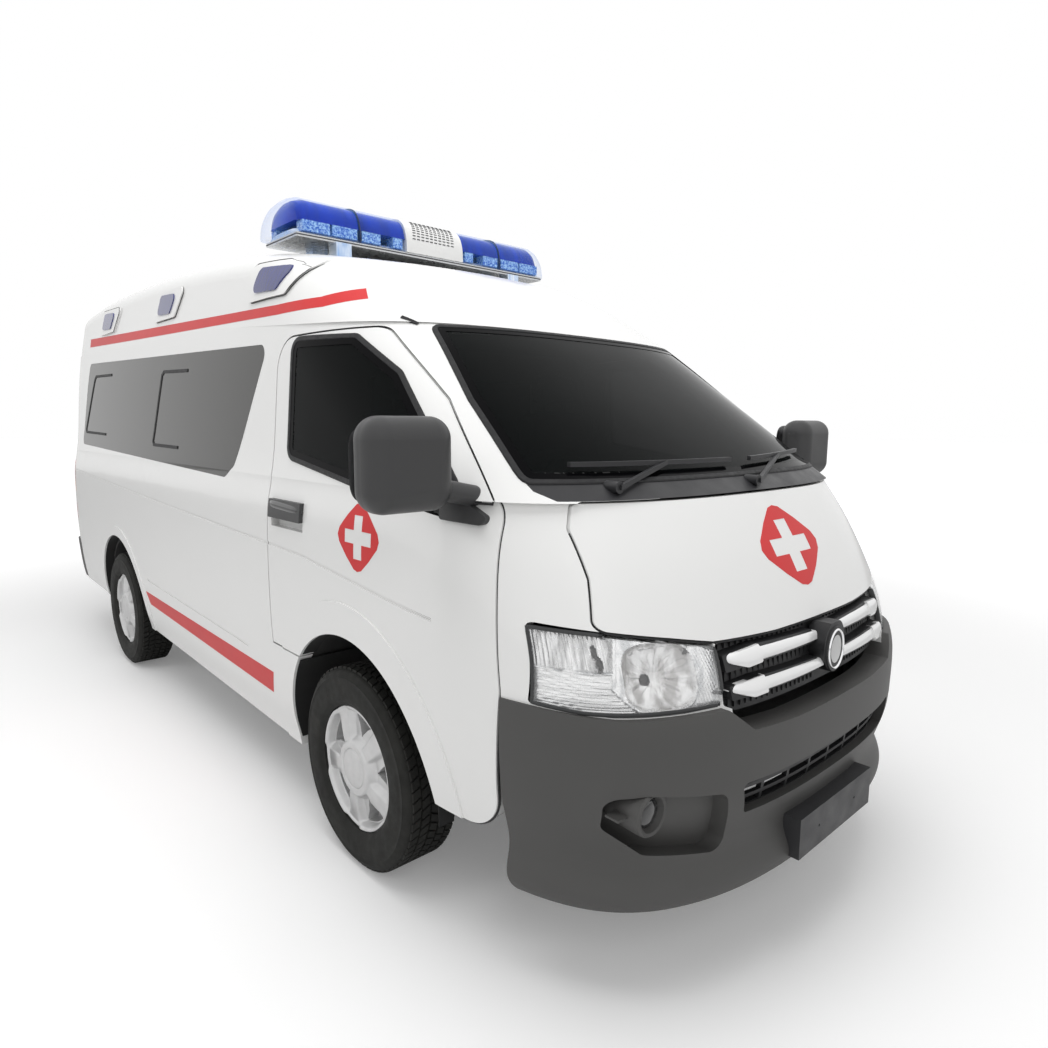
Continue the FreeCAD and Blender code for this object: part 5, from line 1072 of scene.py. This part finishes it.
put("grille_oval", [
    dyed(turned_ahead([(-0.030, 1.00), (0.000, 1.00), (0.004, 0.96), (0.0045, 0.86)], OVAL_CENTRE, 72,
                      "holder",
                      OVAL_HALF[0] * 1.16, OVAL_HALF[1] * 1.14), grille_black),
    dyed(turned_ahead([(0.0, 1.02), (0.0055, 1.0), (0.0080, 0.955), (0.0070, 0.90), (0.0020, 0.87)],
                      OVAL_CENTRE, 72, "oval_ring", *OVAL_HALF, sharp=math.radians(60)), chrome),
    dyed(turned_ahead([(0.0025, 0.90), (0.0035, 0.86), (0.0050, 0.60), (0.0060, 0.30), (0.0063, 0.02)],
                      OVAL_CENTRE, 72, "oval_dish", *OVAL_HALF, sharp=math.radians(60)), cover_silver),
], "root", "silver_bar")

radiator_black = finish("radiator_black", (0.008, 0.008, 0.008), 0.7)
emboss(radiator_black, 60.0, 0.002, 0.6, detail=2.0, stretch=(1.0, 1.0, 12.0))
put("radiator_screen", box_mesh((2.222, -0.425, 0.40), (2.232, 0.425, 0.86)), "root", "black_plastic",
    radiator_black)

charcoal = finish("charcoal_plastic", (0.062, 0.061, 0.059), 0.52)
tint(charcoal, 2.0, (0.058, 0.057, 0.055), (0.067, 0.066, 0.064))
emboss(charcoal, 900.0, 0.0005, 0.3, detail=1.0)
dress(charcoal, "front_bumper", "rear_bumper")

FOG_CENTRE = (2.270, 0.628, 0.503)
FOG_RING = ((-0.098, 0.050), (-0.010, 0.053), (0.004, 0.052), (0.010, 0.047), (0.007, 0.041),
            (-0.006, 0.036), (-0.010, 0.034))
FOG_PANE = ((-0.016, 0.0372), (-0.009, 0.0372), (-0.003, 0.031), (0.001, 0.018), (0.0025, 0.001))
fog_glass = finish("fog_glass", (0.014, 0.014, 0.015), 0.04, coat_weight=0.8)
vary(fog_glass, 30.0, 0.03, 0.08)
fog_parts = []
for side in (-1, 1):
    centre = Vector((FOG_CENTRE[0], side * FOG_CENTRE[1], FOG_CENTRE[2]))
    fog_parts += [dyed(turned_ahead(FOG_RING, centre, 64, "fog_ring"), charcoal),
                  dyed(turned_ahead(FOG_PANE, centre, 64, "fog_pane", sharp=math.radians(60)),
                       fog_glass),
                  dyed(box_mesh((centre.x - 0.06, side * 0.672, 0.503),
                                (centre.x - 0.022, side * 0.712, 0.508)), charcoal)]
put("fog_lamp_units", fog_parts, "root", "lamp_clear", replaces=("fog_lamps",))

# Lightbar and roof lamps.
# Two clear covers hold deep blue domes and moulded blocks, either side of a white siren with slots. The
# bar stands on four feet. Navy lenses sit in white pods along the roof's edges.

BAR_MIDDLE = 0.470
BAR_FOOT = 2.054
BAR_HALF = 0.140
BAR_TALL = 0.145
SIREN_HALF = 0.142
DOME_START = 0.357
BAR_END = 0.650
BAR_ARC_STEPS = 40
BAR_ACROSS_POWER = 2 / 3.0
BAR_UP_POWER = 2 / 2.6
LENS_FOOT = 0.046
BLOCK_RUNS = ((0.160, 0.205), (0.262, 0.345), (0.365, 0.470), (0.480, 0.590))
BLOCK_SHARES = (0.62, 0.955)
BLOCK_HEIGHTS = (0.008, 0.047)
SIREN_PROUD = 1.004
SLOT_COLUMNS = 10
SLOT_ROWS = 9
FOOT_PLACES = (0.395, 0.585)
FOOT_ACROSS = 0.43
FOOT_HALF = (0.030, 0.032)


def bar_section(y, wide, tall, low=0.0):
    """One ring of the lightbar across its depth: flat under, rounded over."""
    ring = []
    for k in range(BAR_ARC_STEPS + 1):
        turn = math.pi * k / BAR_ARC_STEPS
        c, d = math.cos(turn), math.sin(turn)
        x = BAR_HALF * wide * math.copysign(abs(c) ** BAR_ACROSS_POWER, c)
        z = max(BAR_TALL * tall * d ** BAR_UP_POWER, low)
        ring.append((BAR_MIDDLE + x, y, BAR_FOOT + z))
    ring.append((BAR_MIDDLE - BAR_HALF * wide, y, BAR_FOOT + low))
    ring[0] = (BAR_MIDDLE + BAR_HALF * wide, y, BAR_FOOT + low)
    ring.pop(-2)
    return ring


def bar_part(stations, side, name, low=0.0):
    """A length of the lightbar through (y, width share, height share) stations."""
    return loft([bar_section(side * y, wide, tall, low) for y, wide, tall in stations], name,
                sharp=math.radians(30))


bar_clear = clear_plastic("bar_clear", (0.16, 0.42, 1.0), 0.03, 0.34, specular_ior_level=0.35)
dome_blue = finish("dome_blue", (0.0, 0.02, 0.40), 0.12, specular_ior_level=0.25)
tint(dome_blue, 40.0, (0.0, 0.006, 0.24), (0.0, 0.020, 0.46), stretch=(0.15, 1.0, 0.15))
# The crystal blocks' light spots are painted glints: fine noise mixes deep blue with near-white in their
# colour.
crystal = finish("crystal_painted_glints", (0.10, 0.35, 0.95), 0.08, coat_weight=0.4)
tint(crystal, 160.0, (0.01, 0.12, 0.62), (0.42, 0.70, 1.0), low=0.40, high=0.62, detail=4.0)
# The reflector's streaks of dark and light blue are painted reflections; the bar's feet share this
# finish.
bar_silver_blue = finish("bar_reflector", (0.60, 0.72, 0.88), 0.16, metallic=0.7)
tint(bar_silver_blue, 50.0, (0.30, 0.48, 0.80), (0.85, 0.92, 1.0), stretch=(0.2, 1.0, 0.2))
silver = finish("silver_rail", (0.60, 0.61, 0.62), 0.28, metallic=0.9)
vary(silver, 30.0, 0.22, 0.36)
seam_dark = finish("seam_dark", (0.02, 0.025, 0.06), 0.4)
vary(seam_dark, 60.0, 0.35, 0.5)
slot_dark = finish("siren_slot", (0.06, 0.06, 0.065), 0.6)
vary(slot_dark, 60.0, 0.5, 0.7)

covers, domes = [], []
for side in (-1, 1):
    covers.append(bar_part([(SIREN_HALF, 1.0, 1.0), (0.575, 1.0, 1.0), (0.605, 0.97, 0.93),
                            (0.628, 0.91, 0.78),
                            (0.642, 0.83, 0.60), (BAR_END, 0.72, 0.42)], side, "cover"))
    dome = bar_part([(DOME_START, 0.95, 0.965), (0.56, 0.95, 0.965), (0.585, 0.91, 0.90),
                     (0.600, 0.84, 0.76), (0.606, 0.70, 0.58)], side, "dome", LENS_FOOT)
    flat = bar_part([(SIREN_HALF + 0.006, 0.96, 0.955), (DOME_START - 0.006, 0.96, 0.955)], side,
                    "flat_lens", LENS_FOOT)
    tray = bar_part([(SIREN_HALF + 0.002, 0.90, 0.16), (0.600, 0.90, 0.16)], side, "tray", 0.004)
    seam = bar_part([(DOME_START - 0.0045, 1.006, 1.006), (DOME_START - 0.0015, 1.006, 1.006)], side,
                    "seam")
    domes += [dyed(dome, dome_blue), dyed(flat, dome_blue), dyed(tray, bar_silver_blue),
              dyed(seam, seam_dark)]
    for low_y, high_y in BLOCK_RUNS:
        for front in (-1, 1):
            near, far = sorted(BAR_MIDDLE + front * BAR_HALF * share for share in BLOCK_SHARES)
            domes.append(dyed(box_mesh((near, side * low_y, BAR_FOOT + BLOCK_HEIGHTS[0]),
                                       (far, side * high_y, BAR_FOOT + BLOCK_HEIGHTS[1])), crystal))
put("lightbar_covers", covers, "root", "clear_glass", bar_clear, replaces=("lightbar_lenses",))
put("lightbar_domes", domes, "root", "lamp_blue", replaces=("lightbar_lenses",))

siren = bar_part([(y, SIREN_PROUD, SIREN_PROUD)
                  for y in (-SIREN_HALF - 0.001, 0.0, SIREN_HALF + 0.001)], 1, "siren")
# The slots are not cut: dark dashes stand on the siren's face as painted shade for the openings.
dashes = []
for column in range(SLOT_COLUMNS):
    for row in range(SLOT_ROWS):
        turn = math.radians(17 + 5.6 * row)
        y = -0.112 + 0.0215 * column + 0.0022 * row
        x = BAR_MIDDLE + BAR_HALF * SIREN_PROUD * math.cos(turn) ** BAR_ACROSS_POWER
        z = BAR_FOOT + BAR_TALL * SIREN_PROUD * math.sin(turn) ** BAR_UP_POWER
        dashes.append(box_mesh((x - 0.003, y, z - 0.0020), (x + 0.0012, y + 0.0140, z + 0.0020)))
put("lightbar_siren", [dyed(siren, paint), dyed(joined(dashes, "slots"), slot_dark)], "root",
    "white_plastic", replaces=("lightbar_centre",))

rail = box_mesh((BAR_MIDDLE - 0.128, -0.615, BAR_FOOT - 0.016),
                (BAR_MIDDLE + 0.134, 0.615, BAR_FOOT - 0.0005))
line = box_mesh((BAR_MIDDLE - 0.130, -0.616, BAR_FOOT - 0.010),
                (BAR_MIDDLE + 0.1355, 0.616, BAR_FOOT - 0.006))
feet = [box_mesh((x - FOOT_HALF[0], side * FOOT_ACROSS - FOOT_HALF[1], 1.988),
                 (x + FOOT_HALF[0], side * FOOT_ACROSS + FOOT_HALF[1], BAR_FOOT - 0.014))
        for side in (-1, 1) for x in FOOT_PLACES]
put("lightbar_rail",
    [dyed(rail, silver), dyed(line, slot_dark), *(dyed(foot, bar_silver_blue) for foot in feet)],
    "root", "silver_bar", replaces=("lightbar_base",))

navy_lens = finish("navy_lens", (0.022, 0.030, 0.17), 0.10, coat_weight=0.3)
tint(navy_lens, 60.0, (0.016, 0.022, 0.13), (0.030, 0.038, 0.20), detail=2.0, stretch=(1.0, 0.2, 0.2))
dress(navy_lens, "roof_lamp_lenses")
# Dark strips sunk round the roof lamp pods are painted shade in the gaps about them.
put("roof_pod_shade_lines",
    [round_strip(spaced(loop, 0.008), 0.0012, 0.0068, 0.0014, 6, "pod_line") for side in (-1, 1)
     for loop in outlines("roof_lamp_housings", (0.0, side, 0.35))[:3]], "root", "black_plastic",
    seal_rubber_and_shade)

# Door glass, mirrors and handles.
# Sliding panes in the load space have black C-shaped frames. Each cab door carries a large satin black
# mirror on a short arm and a gloss black grip over a recess.

SLIDERS = (((-1.418, 1.622), (-1.780, 1.6285), (-1.806, 1.612), (-1.996, 1.318), (-1.990, 1.298),
            (-1.519, 1.290)),
           ((-0.137, 1.584), (-0.470, 1.5935), (-0.496, 1.578), (-0.606, 1.272), (-0.592, 1.254),
            (-0.236, 1.250)))
LEFT_SLIDER_SHIFT = 0.37
CLIP = ((1.312, 0.633, 1.675), (1.330, 0.6245, 1.6675), (1.346, 0.616, 1.660), (1.360, 0.607, 1.653))
SLIDER_STEP = 0.02
SLIDER_SECTION = ((-0.008, -0.002), (-0.007, 0.003), (0.007, 0.003), (0.008, -0.002))
CLIP_SECTION = ((-0.006, -0.006), (-0.005, 0.005), (0.005, 0.005), (0.006, -0.006))
GRIP_REAR = 0.806
GRIP_LENGTH = 0.242
GRIP_HEIGHT = 1.0935
GRIP_REACH = (0.82, 1.03)
MIRROR_CENTRE = (0.9525, 1.270)
MIRROR_HALF = (0.098, 0.090)
MIRROR_STATIONS = ((1.0, 1.7265), (0.99, 1.7255), (0.95, 1.7252), (0.5, 1.7252), (0.02, 1.7252))
MIRROR_POWER = 0.45

side_panes = skin_of("side_glass")
frames, clips = [], []
for side in (-1, 1):
    cast = onto_side(side_panes, side)
    for number, corners in enumerate(SLIDERS):
        shift = LEFT_SLIDER_SHIFT if side > 0 and number == 1 else 0.0
        line = []
        for (x, z), (u, w) in zip(corners, corners[1:]):
            steps = max(1, round(math.hypot(u - x, w - z) / SLIDER_STEP))
            line += [(x + (u - x) * k / steps + shift, z + (w - z) * k / steps) for k in range(steps)]
        line.append((corners[-1][0] + shift, corners[-1][1]))
        frames.append(swept([cast(x, z) for x, z in line], SLIDER_SECTION, "slider", looped=False))
    seam = [(Vector((x, side * y, z)), Vector((0.3, side * 0.6, 0.74)).normalized())
            for x, y, z in CLIP]
    clips.append(swept(seam, CLIP_SECTION, "clip", looped=False))
put("slider_frames", frames, "root", "black_plastic", seal_rubber_and_shade)
put("roof_joint_clips", clips, "root", "black_plastic", seal_rubber_and_shade)

mirror_black = finish("mirror_black", (0.040, 0.040, 0.041), 0.40)
vary(mirror_black, 8.0, 0.36, 0.46)
emboss(mirror_black, 1200.0, 0.0003, 0.25, detail=1.0)
dress(mirror_black, "door_fittings_right", "door_fittings_left")
gloss_black = finish("gloss_black", (0.012, 0.012, 0.013), 0.12, coat_weight=0.6)
vary(gloss_black, 12.0, 0.10, 0.18)


def rounded(turn, power):
    """Across and up shares of a round-cornered square at one turn."""
    c, d = math.cos(turn), math.sin(turn)
    return math.copysign(abs(c) ** power, c), math.copysign(abs(d) ** power, d)


for side, word in SIDES:
    cast = onto_side(skin_of("door_fittings_" + word), side)
    rows = []
    for k in range(25):
        share = k / 24
        x = GRIP_REAR + GRIP_LENGTH * share
        y = abs(cast(min(max(x, GRIP_REACH[0]), GRIP_REACH[1]), 1.094)[0].y) + 0.0015
        swell = (1 - abs(2 * share - 1) ** 6) ** 0.5
        rows.append([(x, side * (y - 0.010 + 0.013 * swell * max(math.cos(t), -0.3)),
                      GRIP_HEIGHT - 0.010 * share + 0.0165 * (0.35 + 0.65 * swell) * math.sin(t))
                     for t in (math.tau * j / 20 for j in range(20))])
    put("handle_grip_" + word, loft(rows, "grip"), "door_" + word, "black_plastic", gloss_black)
    corners = [rounded(math.tau * j / 64, MIRROR_POWER) for j in range(64)]
    pane = [[(x, side * MIRROR_CENTRE[0] + MIRROR_HALF[0] * scale * a,
              MIRROR_CENTRE[1] + MIRROR_HALF[1] * scale * b) for a, b in corners]
            for scale, x in MIRROR_STATIONS]
    put("mirror_glass_" + word, loft(pane, "mirror_glass"), "door_" + word, "silver_bar", chrome)

# Rear end.
# Three-band lamps stand at the corners beside a lift-up tailgate with a pull handle and a blank plate.

TAIL_SPAN = (0.729, 1.119)
TAIL_RED = (0.50, 0.010, 0.010, 1.0)
TAIL_BANDS = ((0.30, (0.75, 0.76, 0.77, 1.0)), (0.48, (0.85, 0.25, 0.02, 1.0)), (0.66, TAIL_RED))
tail_lens = finish("tail_lens", TAIL_RED[:3], 0.10, coat_weight=0.4)
place = add_node(tail_lens, "ShaderNodeTexCoord")
split = add_node(tail_lens, "ShaderNodeSeparateXYZ")
band = add_node(tail_lens, "ShaderNodeMapRange", From_Min=TAIL_SPAN[0], From_Max=TAIL_SPAN[1])
ramp = tail_lens.node_tree.nodes.new("ShaderNodeValToRGB")
ramp.color_ramp.interpolation = "CONSTANT"
ramp.color_ramp.elements[0].color = TAIL_RED
for at, colour in TAIL_BANDS:
    ramp.color_ramp.elements.new(at).color = colour
ramp.color_ramp.elements.remove(ramp.color_ramp.elements[-1])
for source, target in ((place.outputs["Object"], split.inputs["Vector"]),
                       (split.outputs["Z"], band.inputs["Value"]),
                       (band.outputs["Result"], ramp.inputs["Fac"]),
                       (ramp.outputs["Color"], shader_of(tail_lens).inputs["Base Color"])):
    tail_lens.node_tree.links.new(source, target)
emboss(tail_lens, 120.0, 0.001, 0.4, detail=1.0, stretch=(1.0, 1.0, 0.05))
dress(tail_lens, "tail_lamps")

black = finish("black_plastic", (0.022, 0.022, 0.024), 0.42)
vary(black, 14.0, 0.34, 0.5)
emboss(black, 1100.0, 0.0004, 0.3, detail=1.0)
dress(black, "cowl_panel", "plate_bracket", "wipers")

BLOCK_POINTS = 28
BLOCK_POWER = 0.4


def soft_block(low, high, axis, round_by, name, taper=1.0):
    """A block with rounded corners and ends, drawn along one axis."""
    low, high = Vector(low), Vector(high)
    middle, half = (low + high) / 2, (high - low) / 2
    across = [k for k in range(3) if k != axis]
    rows = []
    for share in (0.0, 0.15, 0.5, 1.0):
        rows.append((-half[axis] + round_by * share,
                     1 - (1 - share) ** 2 * round_by / min(half[k] for k in across)))
    rows += [(-at, size * taper) for at, size in reversed(rows)]
    rings = []
    for at, size in rows:
        ring = []
        for k in range(BLOCK_POINTS):
            place = Vector(middle)
            place[axis] += at
            for way, share in zip(across, rounded(math.tau * k / BLOCK_POINTS, BLOCK_POWER)):
                place[way] += half[way] * size * share
            ring.append(place)
        rings.append(ring)
    return loft(rings, name)


pull = dyed(soft_block((-2.383, -0.150, 1.085), (-2.3605, 0.150, 1.125), 1, 0.006, "pull"), gloss_black)
stop = dyed(soft_block((-2.374, -0.110, 1.672), (-2.3605, 0.110, 1.700), 1, 0.005, "stop"), tail_lens)
put("tailgate_handle", [pull, stop], "tailgate", "black_plastic")
plate_white = finish("blank_plate", (0.72, 0.72, 0.70), 0.35)
vary(plate_white, 12.0, 0.30, 0.42)
put("rear_plate",
    soft_block((-2.3655, -0.235, 0.830), (-2.3605, 0.235, 0.965), 1, 0.002, "rear_plate"), "tailgate",
    "white_plastic", plate_white)

# Inside.
# Two cloth bucket seats face a grey moulded dash behind a bulkhead with a window. The load space has a
# vinyl bench pad, a white cabinet and a grey studded floor.

liner = finish("white_liner", (0.66, 0.66, 0.64), 0.5)
vary(liner, 10.0, 0.42, 0.56)
emboss(liner, 600.0, 0.0002, 0.2)
dress(liner, "partition", "cabinet")
dash_grey = finish("dash_grey", (0.075, 0.075, 0.078), 0.6)
tint(dash_grey, 4.0, (0.068, 0.068, 0.071), (0.082, 0.082, 0.085))
emboss(dash_grey, 700.0, 0.0004, 0.3, detail=1.0)
dress(dash_grey, "dashboard", "steering_column", "steering_wheel")


def woven(name, dark, light, pitch, roughness=0.85):
    """Cloth whose weave shows as fine crossed ribs."""
    material = finish(name, light, roughness, sheen_weight=0.3)
    tint(material, 9.0, dark, light)
    place = add_node(material, "ShaderNodeTexCoord")
    wave = add_node(material, "ShaderNodeTexWave", Scale=pitch, Distortion=0.6)
    material.node_tree.links.new(place.outputs["Object"], wave.inputs["Vector"])
    emboss(material, wave.outputs["Fac"], 0.0006, 0.4)
    return material


CLOTH_PRESSURE = 4.0
CLOTH_FRAMES = 20


def applied(piece):
    """The plain mesh of a piece with its modifiers applied."""
    return bpy.data.meshes.new_from_object(piece.evaluated_get(bpy.context.evaluated_depsgraph_get()))


def stuffed(name, shape, voxel, cap, pressed, slot, material, replaces):
    """A sewn foam pad: even mesh, blown up as cloth between its sewn lines, then smoothed once."""
    pad = bpy.data.objects.new(name, shape)
    scene.collection.objects.link(pad)
    even = pad.modifiers.new("even", "REMESH")
    even.mode = "VOXEL"
    even.voxel_size = voxel
    pad.data = applied(pad)
    pad.modifiers.remove(pad.modifiers["even"])
    start = [vert.co.copy() for vert in pad.data.vertices]
    sewn = pad.vertex_groups.new(name="sewn")
    sewn.add([vert.index for vert in pad.data.vertices if pressed(vert.co)], 1.0, "REPLACE")
    cloth = pad.modifiers.new("cloth", "CLOTH")
    cloth.settings.use_pressure = True
    cloth.settings.uniform_pressure_force = CLOTH_PRESSURE
    cloth.settings.vertex_group_mass = "sewn"
    cloth.settings.effector_weights.gravity = 0.0
    cloth.point_cache.frame_start = 1
    cloth.point_cache.frame_end = CLOTH_FRAMES
    for tick in range(1, CLOTH_FRAMES + 1):
        scene.frame_set(tick)
    blown = applied(pad)
    pad.modifiers.remove(cloth)
    scene.frame_set(1)
    for vert, before in zip(blown.vertices, start):
        move = vert.co - before
        if move.length > cap:
            vert.co = before + move * (cap / move.length)
    pad.data = blown
    smooth = pad.modifiers.new("smooth", "SUBSURF")
    smooth.levels = smooth.render_levels = 1
    skin = applied(pad)
    bpy.data.objects.remove(pad)
    skin.shade_smooth()
    put(name, skin, "root", slot, material, replaces=(replaces,))


seat_cloth = woven("seat_cloth", (0.050, 0.052, 0.058), (0.075, 0.078, 0.086), 160.0)
seat_steel = finish("seat_steel", (0.35, 0.35, 0.36), 0.3, metallic=0.9)
vary(seat_steel, 30.0, 0.25, 0.4)
SEAT_MIDDLE = 0.380
SEAT_HALF = 0.222
SEAT_VOXEL = 0.0095
SEAT_SWELL = 0.013
SEWN_HALF = 0.006
BACK_FOOT = 1.004
BACK_LEAN = 0.185
HEADREST_HALF = 0.112
POST_ACROSS = 0.055
POST_RADIUS = 0.006
POST_ENDS = (1.395, 1.456)
for side, word in SIDES:
    middle = side * SEAT_MIDDLE
    cushion = soft_block((1.012, middle - SEAT_HALF, 0.872), (1.452, middle + SEAT_HALF, 0.976), 0,
                         0.03, "cushion")
    stuffed("seat_cushion_" + word, cushion, SEAT_VOXEL, SEAT_SWELL,
            lambda co: co.z < 0.885 or abs(abs(co.y - middle) - 0.130) < SEWN_HALF and co.z > 0.93,
            "seat_cloth", seat_cloth, "front_seats")
    back = soft_block((-0.048, middle - SEAT_HALF, BACK_FOOT), (0.048, middle + SEAT_HALF, 1.412), 2,
                      0.03, "back", 0.93)
    for vert in back.vertices:
        vert.co.x += 1.027 - (vert.co.z - BACK_FOOT) * BACK_LEAN
    stuffed("seat_back_" + word, back, SEAT_VOXEL, SEAT_SWELL,
            lambda co: abs(abs(co.y - middle) - 0.125) < SEWN_HALF or abs(co.z - 1.20) < 0.005,
            "seat_cloth", seat_cloth, "front_seats")
    headrest = soft_block((0.902, middle - HEADREST_HALF, 1.446),
                          (0.992, middle + HEADREST_HALF, 1.562), 2, 0.025, "headrest")
    stuffed("headrest_" + word, headrest, 0.008, 0.009, lambda co: abs(co.z - 1.46) < 0.004,
            "seat_cloth", seat_cloth, "front_seats")
    posts = []
    for across in (-POST_ACROSS, POST_ACROSS):
        posts.append(dyed(loft([[(0.947 + POST_RADIUS * math.cos(t),
                                  middle + across + POST_RADIUS * math.sin(t), z)
                                 for t in (math.tau * k / 16 for k in range(16))] for z in POST_ENDS],
                               "post"), seat_steel))
    put("headrest_posts_" + word, posts, "root", "cast_grey")

bench_vinyl = finish("bench_vinyl", (0.05, 0.085, 0.16), 0.42)
tint(bench_vinyl, 5.0, (0.045, 0.078, 0.15), (0.056, 0.092, 0.17))
emboss(bench_vinyl, 500.0, 0.0003, 0.35)
BENCH_SEAM_PITCH = 0.4113
put("bench_base", box_mesh((-0.818, 0.307, 0.602), (0.428, 0.733, 0.948)), "root", "cabin_panel", liner,
    replaces=("bench_seat",))
pad = soft_block((-0.812, 0.316, 0.9495), (0.422, 0.724, 1.010), 0, 0.02, "bench_pad")
stuffed("bench_pad", pad, 0.0105, 0.010,
        lambda co: co.z < 0.957 or abs((co.x + 0.812) % BENCH_SEAM_PITCH) < SEWN_HALF,
        "bench_vinyl", bench_vinyl, "bench_seat")

mat_grey = finish("floor_vinyl", (0.20, 0.21, 0.22), 0.55)
tint(mat_grey, 260.0, (0.15, 0.16, 0.17), (0.25, 0.26, 0.27), low=0.42, high=0.55, detail=1.0)
emboss(mat_grey, 150.0, 0.0006, 0.4, detail=1.0)
put("load_floor_mat", box_mesh((-2.28, -0.395, 0.6005), (0.738, 0.298, 0.6040)), "root", "cabin_panel",
    mat_grey)

card_grey = finish("door_card", (0.16, 0.16, 0.165), 0.65)
tint(card_grey, 5.0, (0.145, 0.145, 0.15), (0.175, 0.175, 0.18))
emboss(card_grey, 800.0, 0.0004, 0.3, detail=1.0)
CARD = ((0.885, 0.72), (0.885, 1.085), (1.60, 1.085), (1.66, 1.03), (1.66, 0.86), (1.40, 0.80),
        (1.05, 0.80))
for side, word in SIDES:
    inner_skin = skin_of("door_" + word)
    card = film([CARD], lambda x, z: drop_on(inner_skin, (x, 0.0, z), (0.0, side, 0.0)), "door_card")
    put("door_card_" + word, card, "door_" + word, "cab_plastic", card_grey)

# Camera, floor and light.
# The camera stands where the photographer stood, low by the right front corner. A broad white floor
# runs to the horizon under soft lamps, as in a studio.

CAMERA_PLACE = Vector((3.182, -1.852, 1.367))
CAMERA_YAW = math.radians(137.44)
CAMERA_PITCH = math.radians(-8.02)
CAMERA_ROLL = math.radians(0.26)
FOCAL_PIXELS = 719.0
FRAME_PIXELS = 1048.0
SENSOR = 36.0

ahead = Vector((math.cos(CAMERA_PITCH) * math.cos(CAMERA_YAW),
                math.cos(CAMERA_PITCH) * math.sin(CAMERA_YAW),
                math.sin(CAMERA_PITCH)))
level = Vector((math.sin(CAMERA_YAW), -math.cos(CAMERA_YAW), 0.0))
upright = level.cross(ahead)
right = level * math.cos(CAMERA_ROLL) + upright * math.sin(CAMERA_ROLL)
up = upright * math.cos(CAMERA_ROLL) - level * math.sin(CAMERA_ROLL)

camera_data = bpy.data.cameras.new("camera")
camera_data.sensor_width = SENSOR
camera_data.lens = FOCAL_PIXELS / FRAME_PIXELS * SENSOR
camera_data.clip_start = 0.05
camera = bpy.data.objects.new("camera", camera_data)
camera.matrix_world = Matrix((
    (right.x, up.x, -ahead.x, CAMERA_PLACE.x), (right.y, up.y, -ahead.y, CAMERA_PLACE.y),
    (right.z, up.z, -ahead.z, CAMERA_PLACE.z), (0.0, 0.0, 0.0, 1.0)))
scene.collection.objects.link(camera)
scene.camera = camera
scene.view_settings.view_transform = "Standard"

FLOOR_HALF = 60.0
floor_mesh = bpy.data.meshes.new("floor")
corners = [(-FLOOR_HALF, -FLOOR_HALF, 0.0), (FLOOR_HALF, -FLOOR_HALF, 0.0),
           (FLOOR_HALF, FLOOR_HALF, 0.0),
           (-FLOOR_HALF, FLOOR_HALF, 0.0)]
floor_mesh.from_pydata(corners, [], [(0, 1, 2, 3)])
floor = bpy.data.objects.new("floor", floor_mesh)
scene.collection.objects.link(floor)
pale = finish("pale_floor", (0.88, 0.88, 0.88), 0.6, emission_color=(1.0, 1.0, 1.0, 1.0))
floor_ray = add_node(pale, "ShaderNodeLightPath")
floor_glow = add_node(pale, "ShaderNodeMath")
floor_glow.operation = "MULTIPLY"
floor_place = add_node(pale, "ShaderNodeTexCoord")
floor_reach = add_node(pale, "ShaderNodeVectorMath")
floor_reach.operation = "LENGTH"
# The floor glows for the camera to look white, less near the van: its real shadow shows, and a darker
# pool of shade is painted round it.
floor_glow_painted_shade = add_node(pale, "ShaderNodeMapRange", From_Min=2.6, From_Max=7.5, To_Min=0.16, To_Max=0.62)
floor_glow_painted_shade.interpolation_type = "SMOOTHSTEP"
for source, target in ((floor_place.outputs["Object"], floor_reach.inputs[0]),
                       (floor_reach.outputs["Value"], floor_glow_painted_shade.inputs["Value"]),
                       (floor_glow_painted_shade.outputs["Result"], floor_glow.inputs[1]),
                       (floor_ray.outputs["Is Camera Ray"], floor_glow.inputs[0]),
                       (floor_glow.outputs[0], shader_of(pale).inputs["Emission Strength"])):
    pale.node_tree.links.new(source, target)
floor_mesh.materials.append(pale)

world = bpy.data.worlds.new("studio")
world.use_nodes = True
scene.world = world
backdrop = world.node_tree.nodes["Background"]
backdrop.inputs["Color"].default_value = (1.0, 1.0, 1.0, 1.0)
ray = add_node(world, "ShaderNodeLightPath")
seen, mirrored = add_node(world, "ShaderNodeMath"), add_node(world, "ShaderNodeMath")
seen.operation = mirrored.operation = "MAXIMUM"
strength = add_node(world, "ShaderNodeMapRange", To_Min=0.42, To_Max=1.0)
for source, target in ((ray.outputs["Is Transmission Ray"], mirrored.inputs[0]),
                       (ray.outputs["Is Glossy Ray"], mirrored.inputs[1]),
                       (ray.outputs["Is Camera Ray"], seen.inputs[0]),
                       (mirrored.outputs[0], seen.inputs[1]),
                       (seen.outputs[0], strength.inputs["Value"]),
                       (strength.outputs["Result"], backdrop.inputs["Strength"])):
    world.node_tree.links.new(source, target)


def soft_lamp(name, place, target, size, power):
    """A square soft box aimed at a point of the object."""
    lamp = bpy.data.lights.new(name, "AREA")
    lamp.size = size
    lamp.energy = power
    holder = bpy.data.objects.new(name, lamp)
    holder.visible_glossy = False
    way = (Vector(target) - Vector(place)).to_track_quat("-Z", "Y")
    holder.matrix_world = Matrix.Translation(place) @ way.to_matrix().to_4x4()
    scene.collection.objects.link(holder)


soft_lamp("overhead", (1.2, -0.8, 6.5), (0.6, 0.0, 0.8), 5.0, 260.0)
soft_lamp("key", (6.0, -3.0, 4.0), (0.9, 0.0, 0.9), 3.0, 60.0)
soft_lamp("fill", (-2.0, -8.0, 4.0), (-0.5, 0.0, 1.0), 4.0, 60.0)
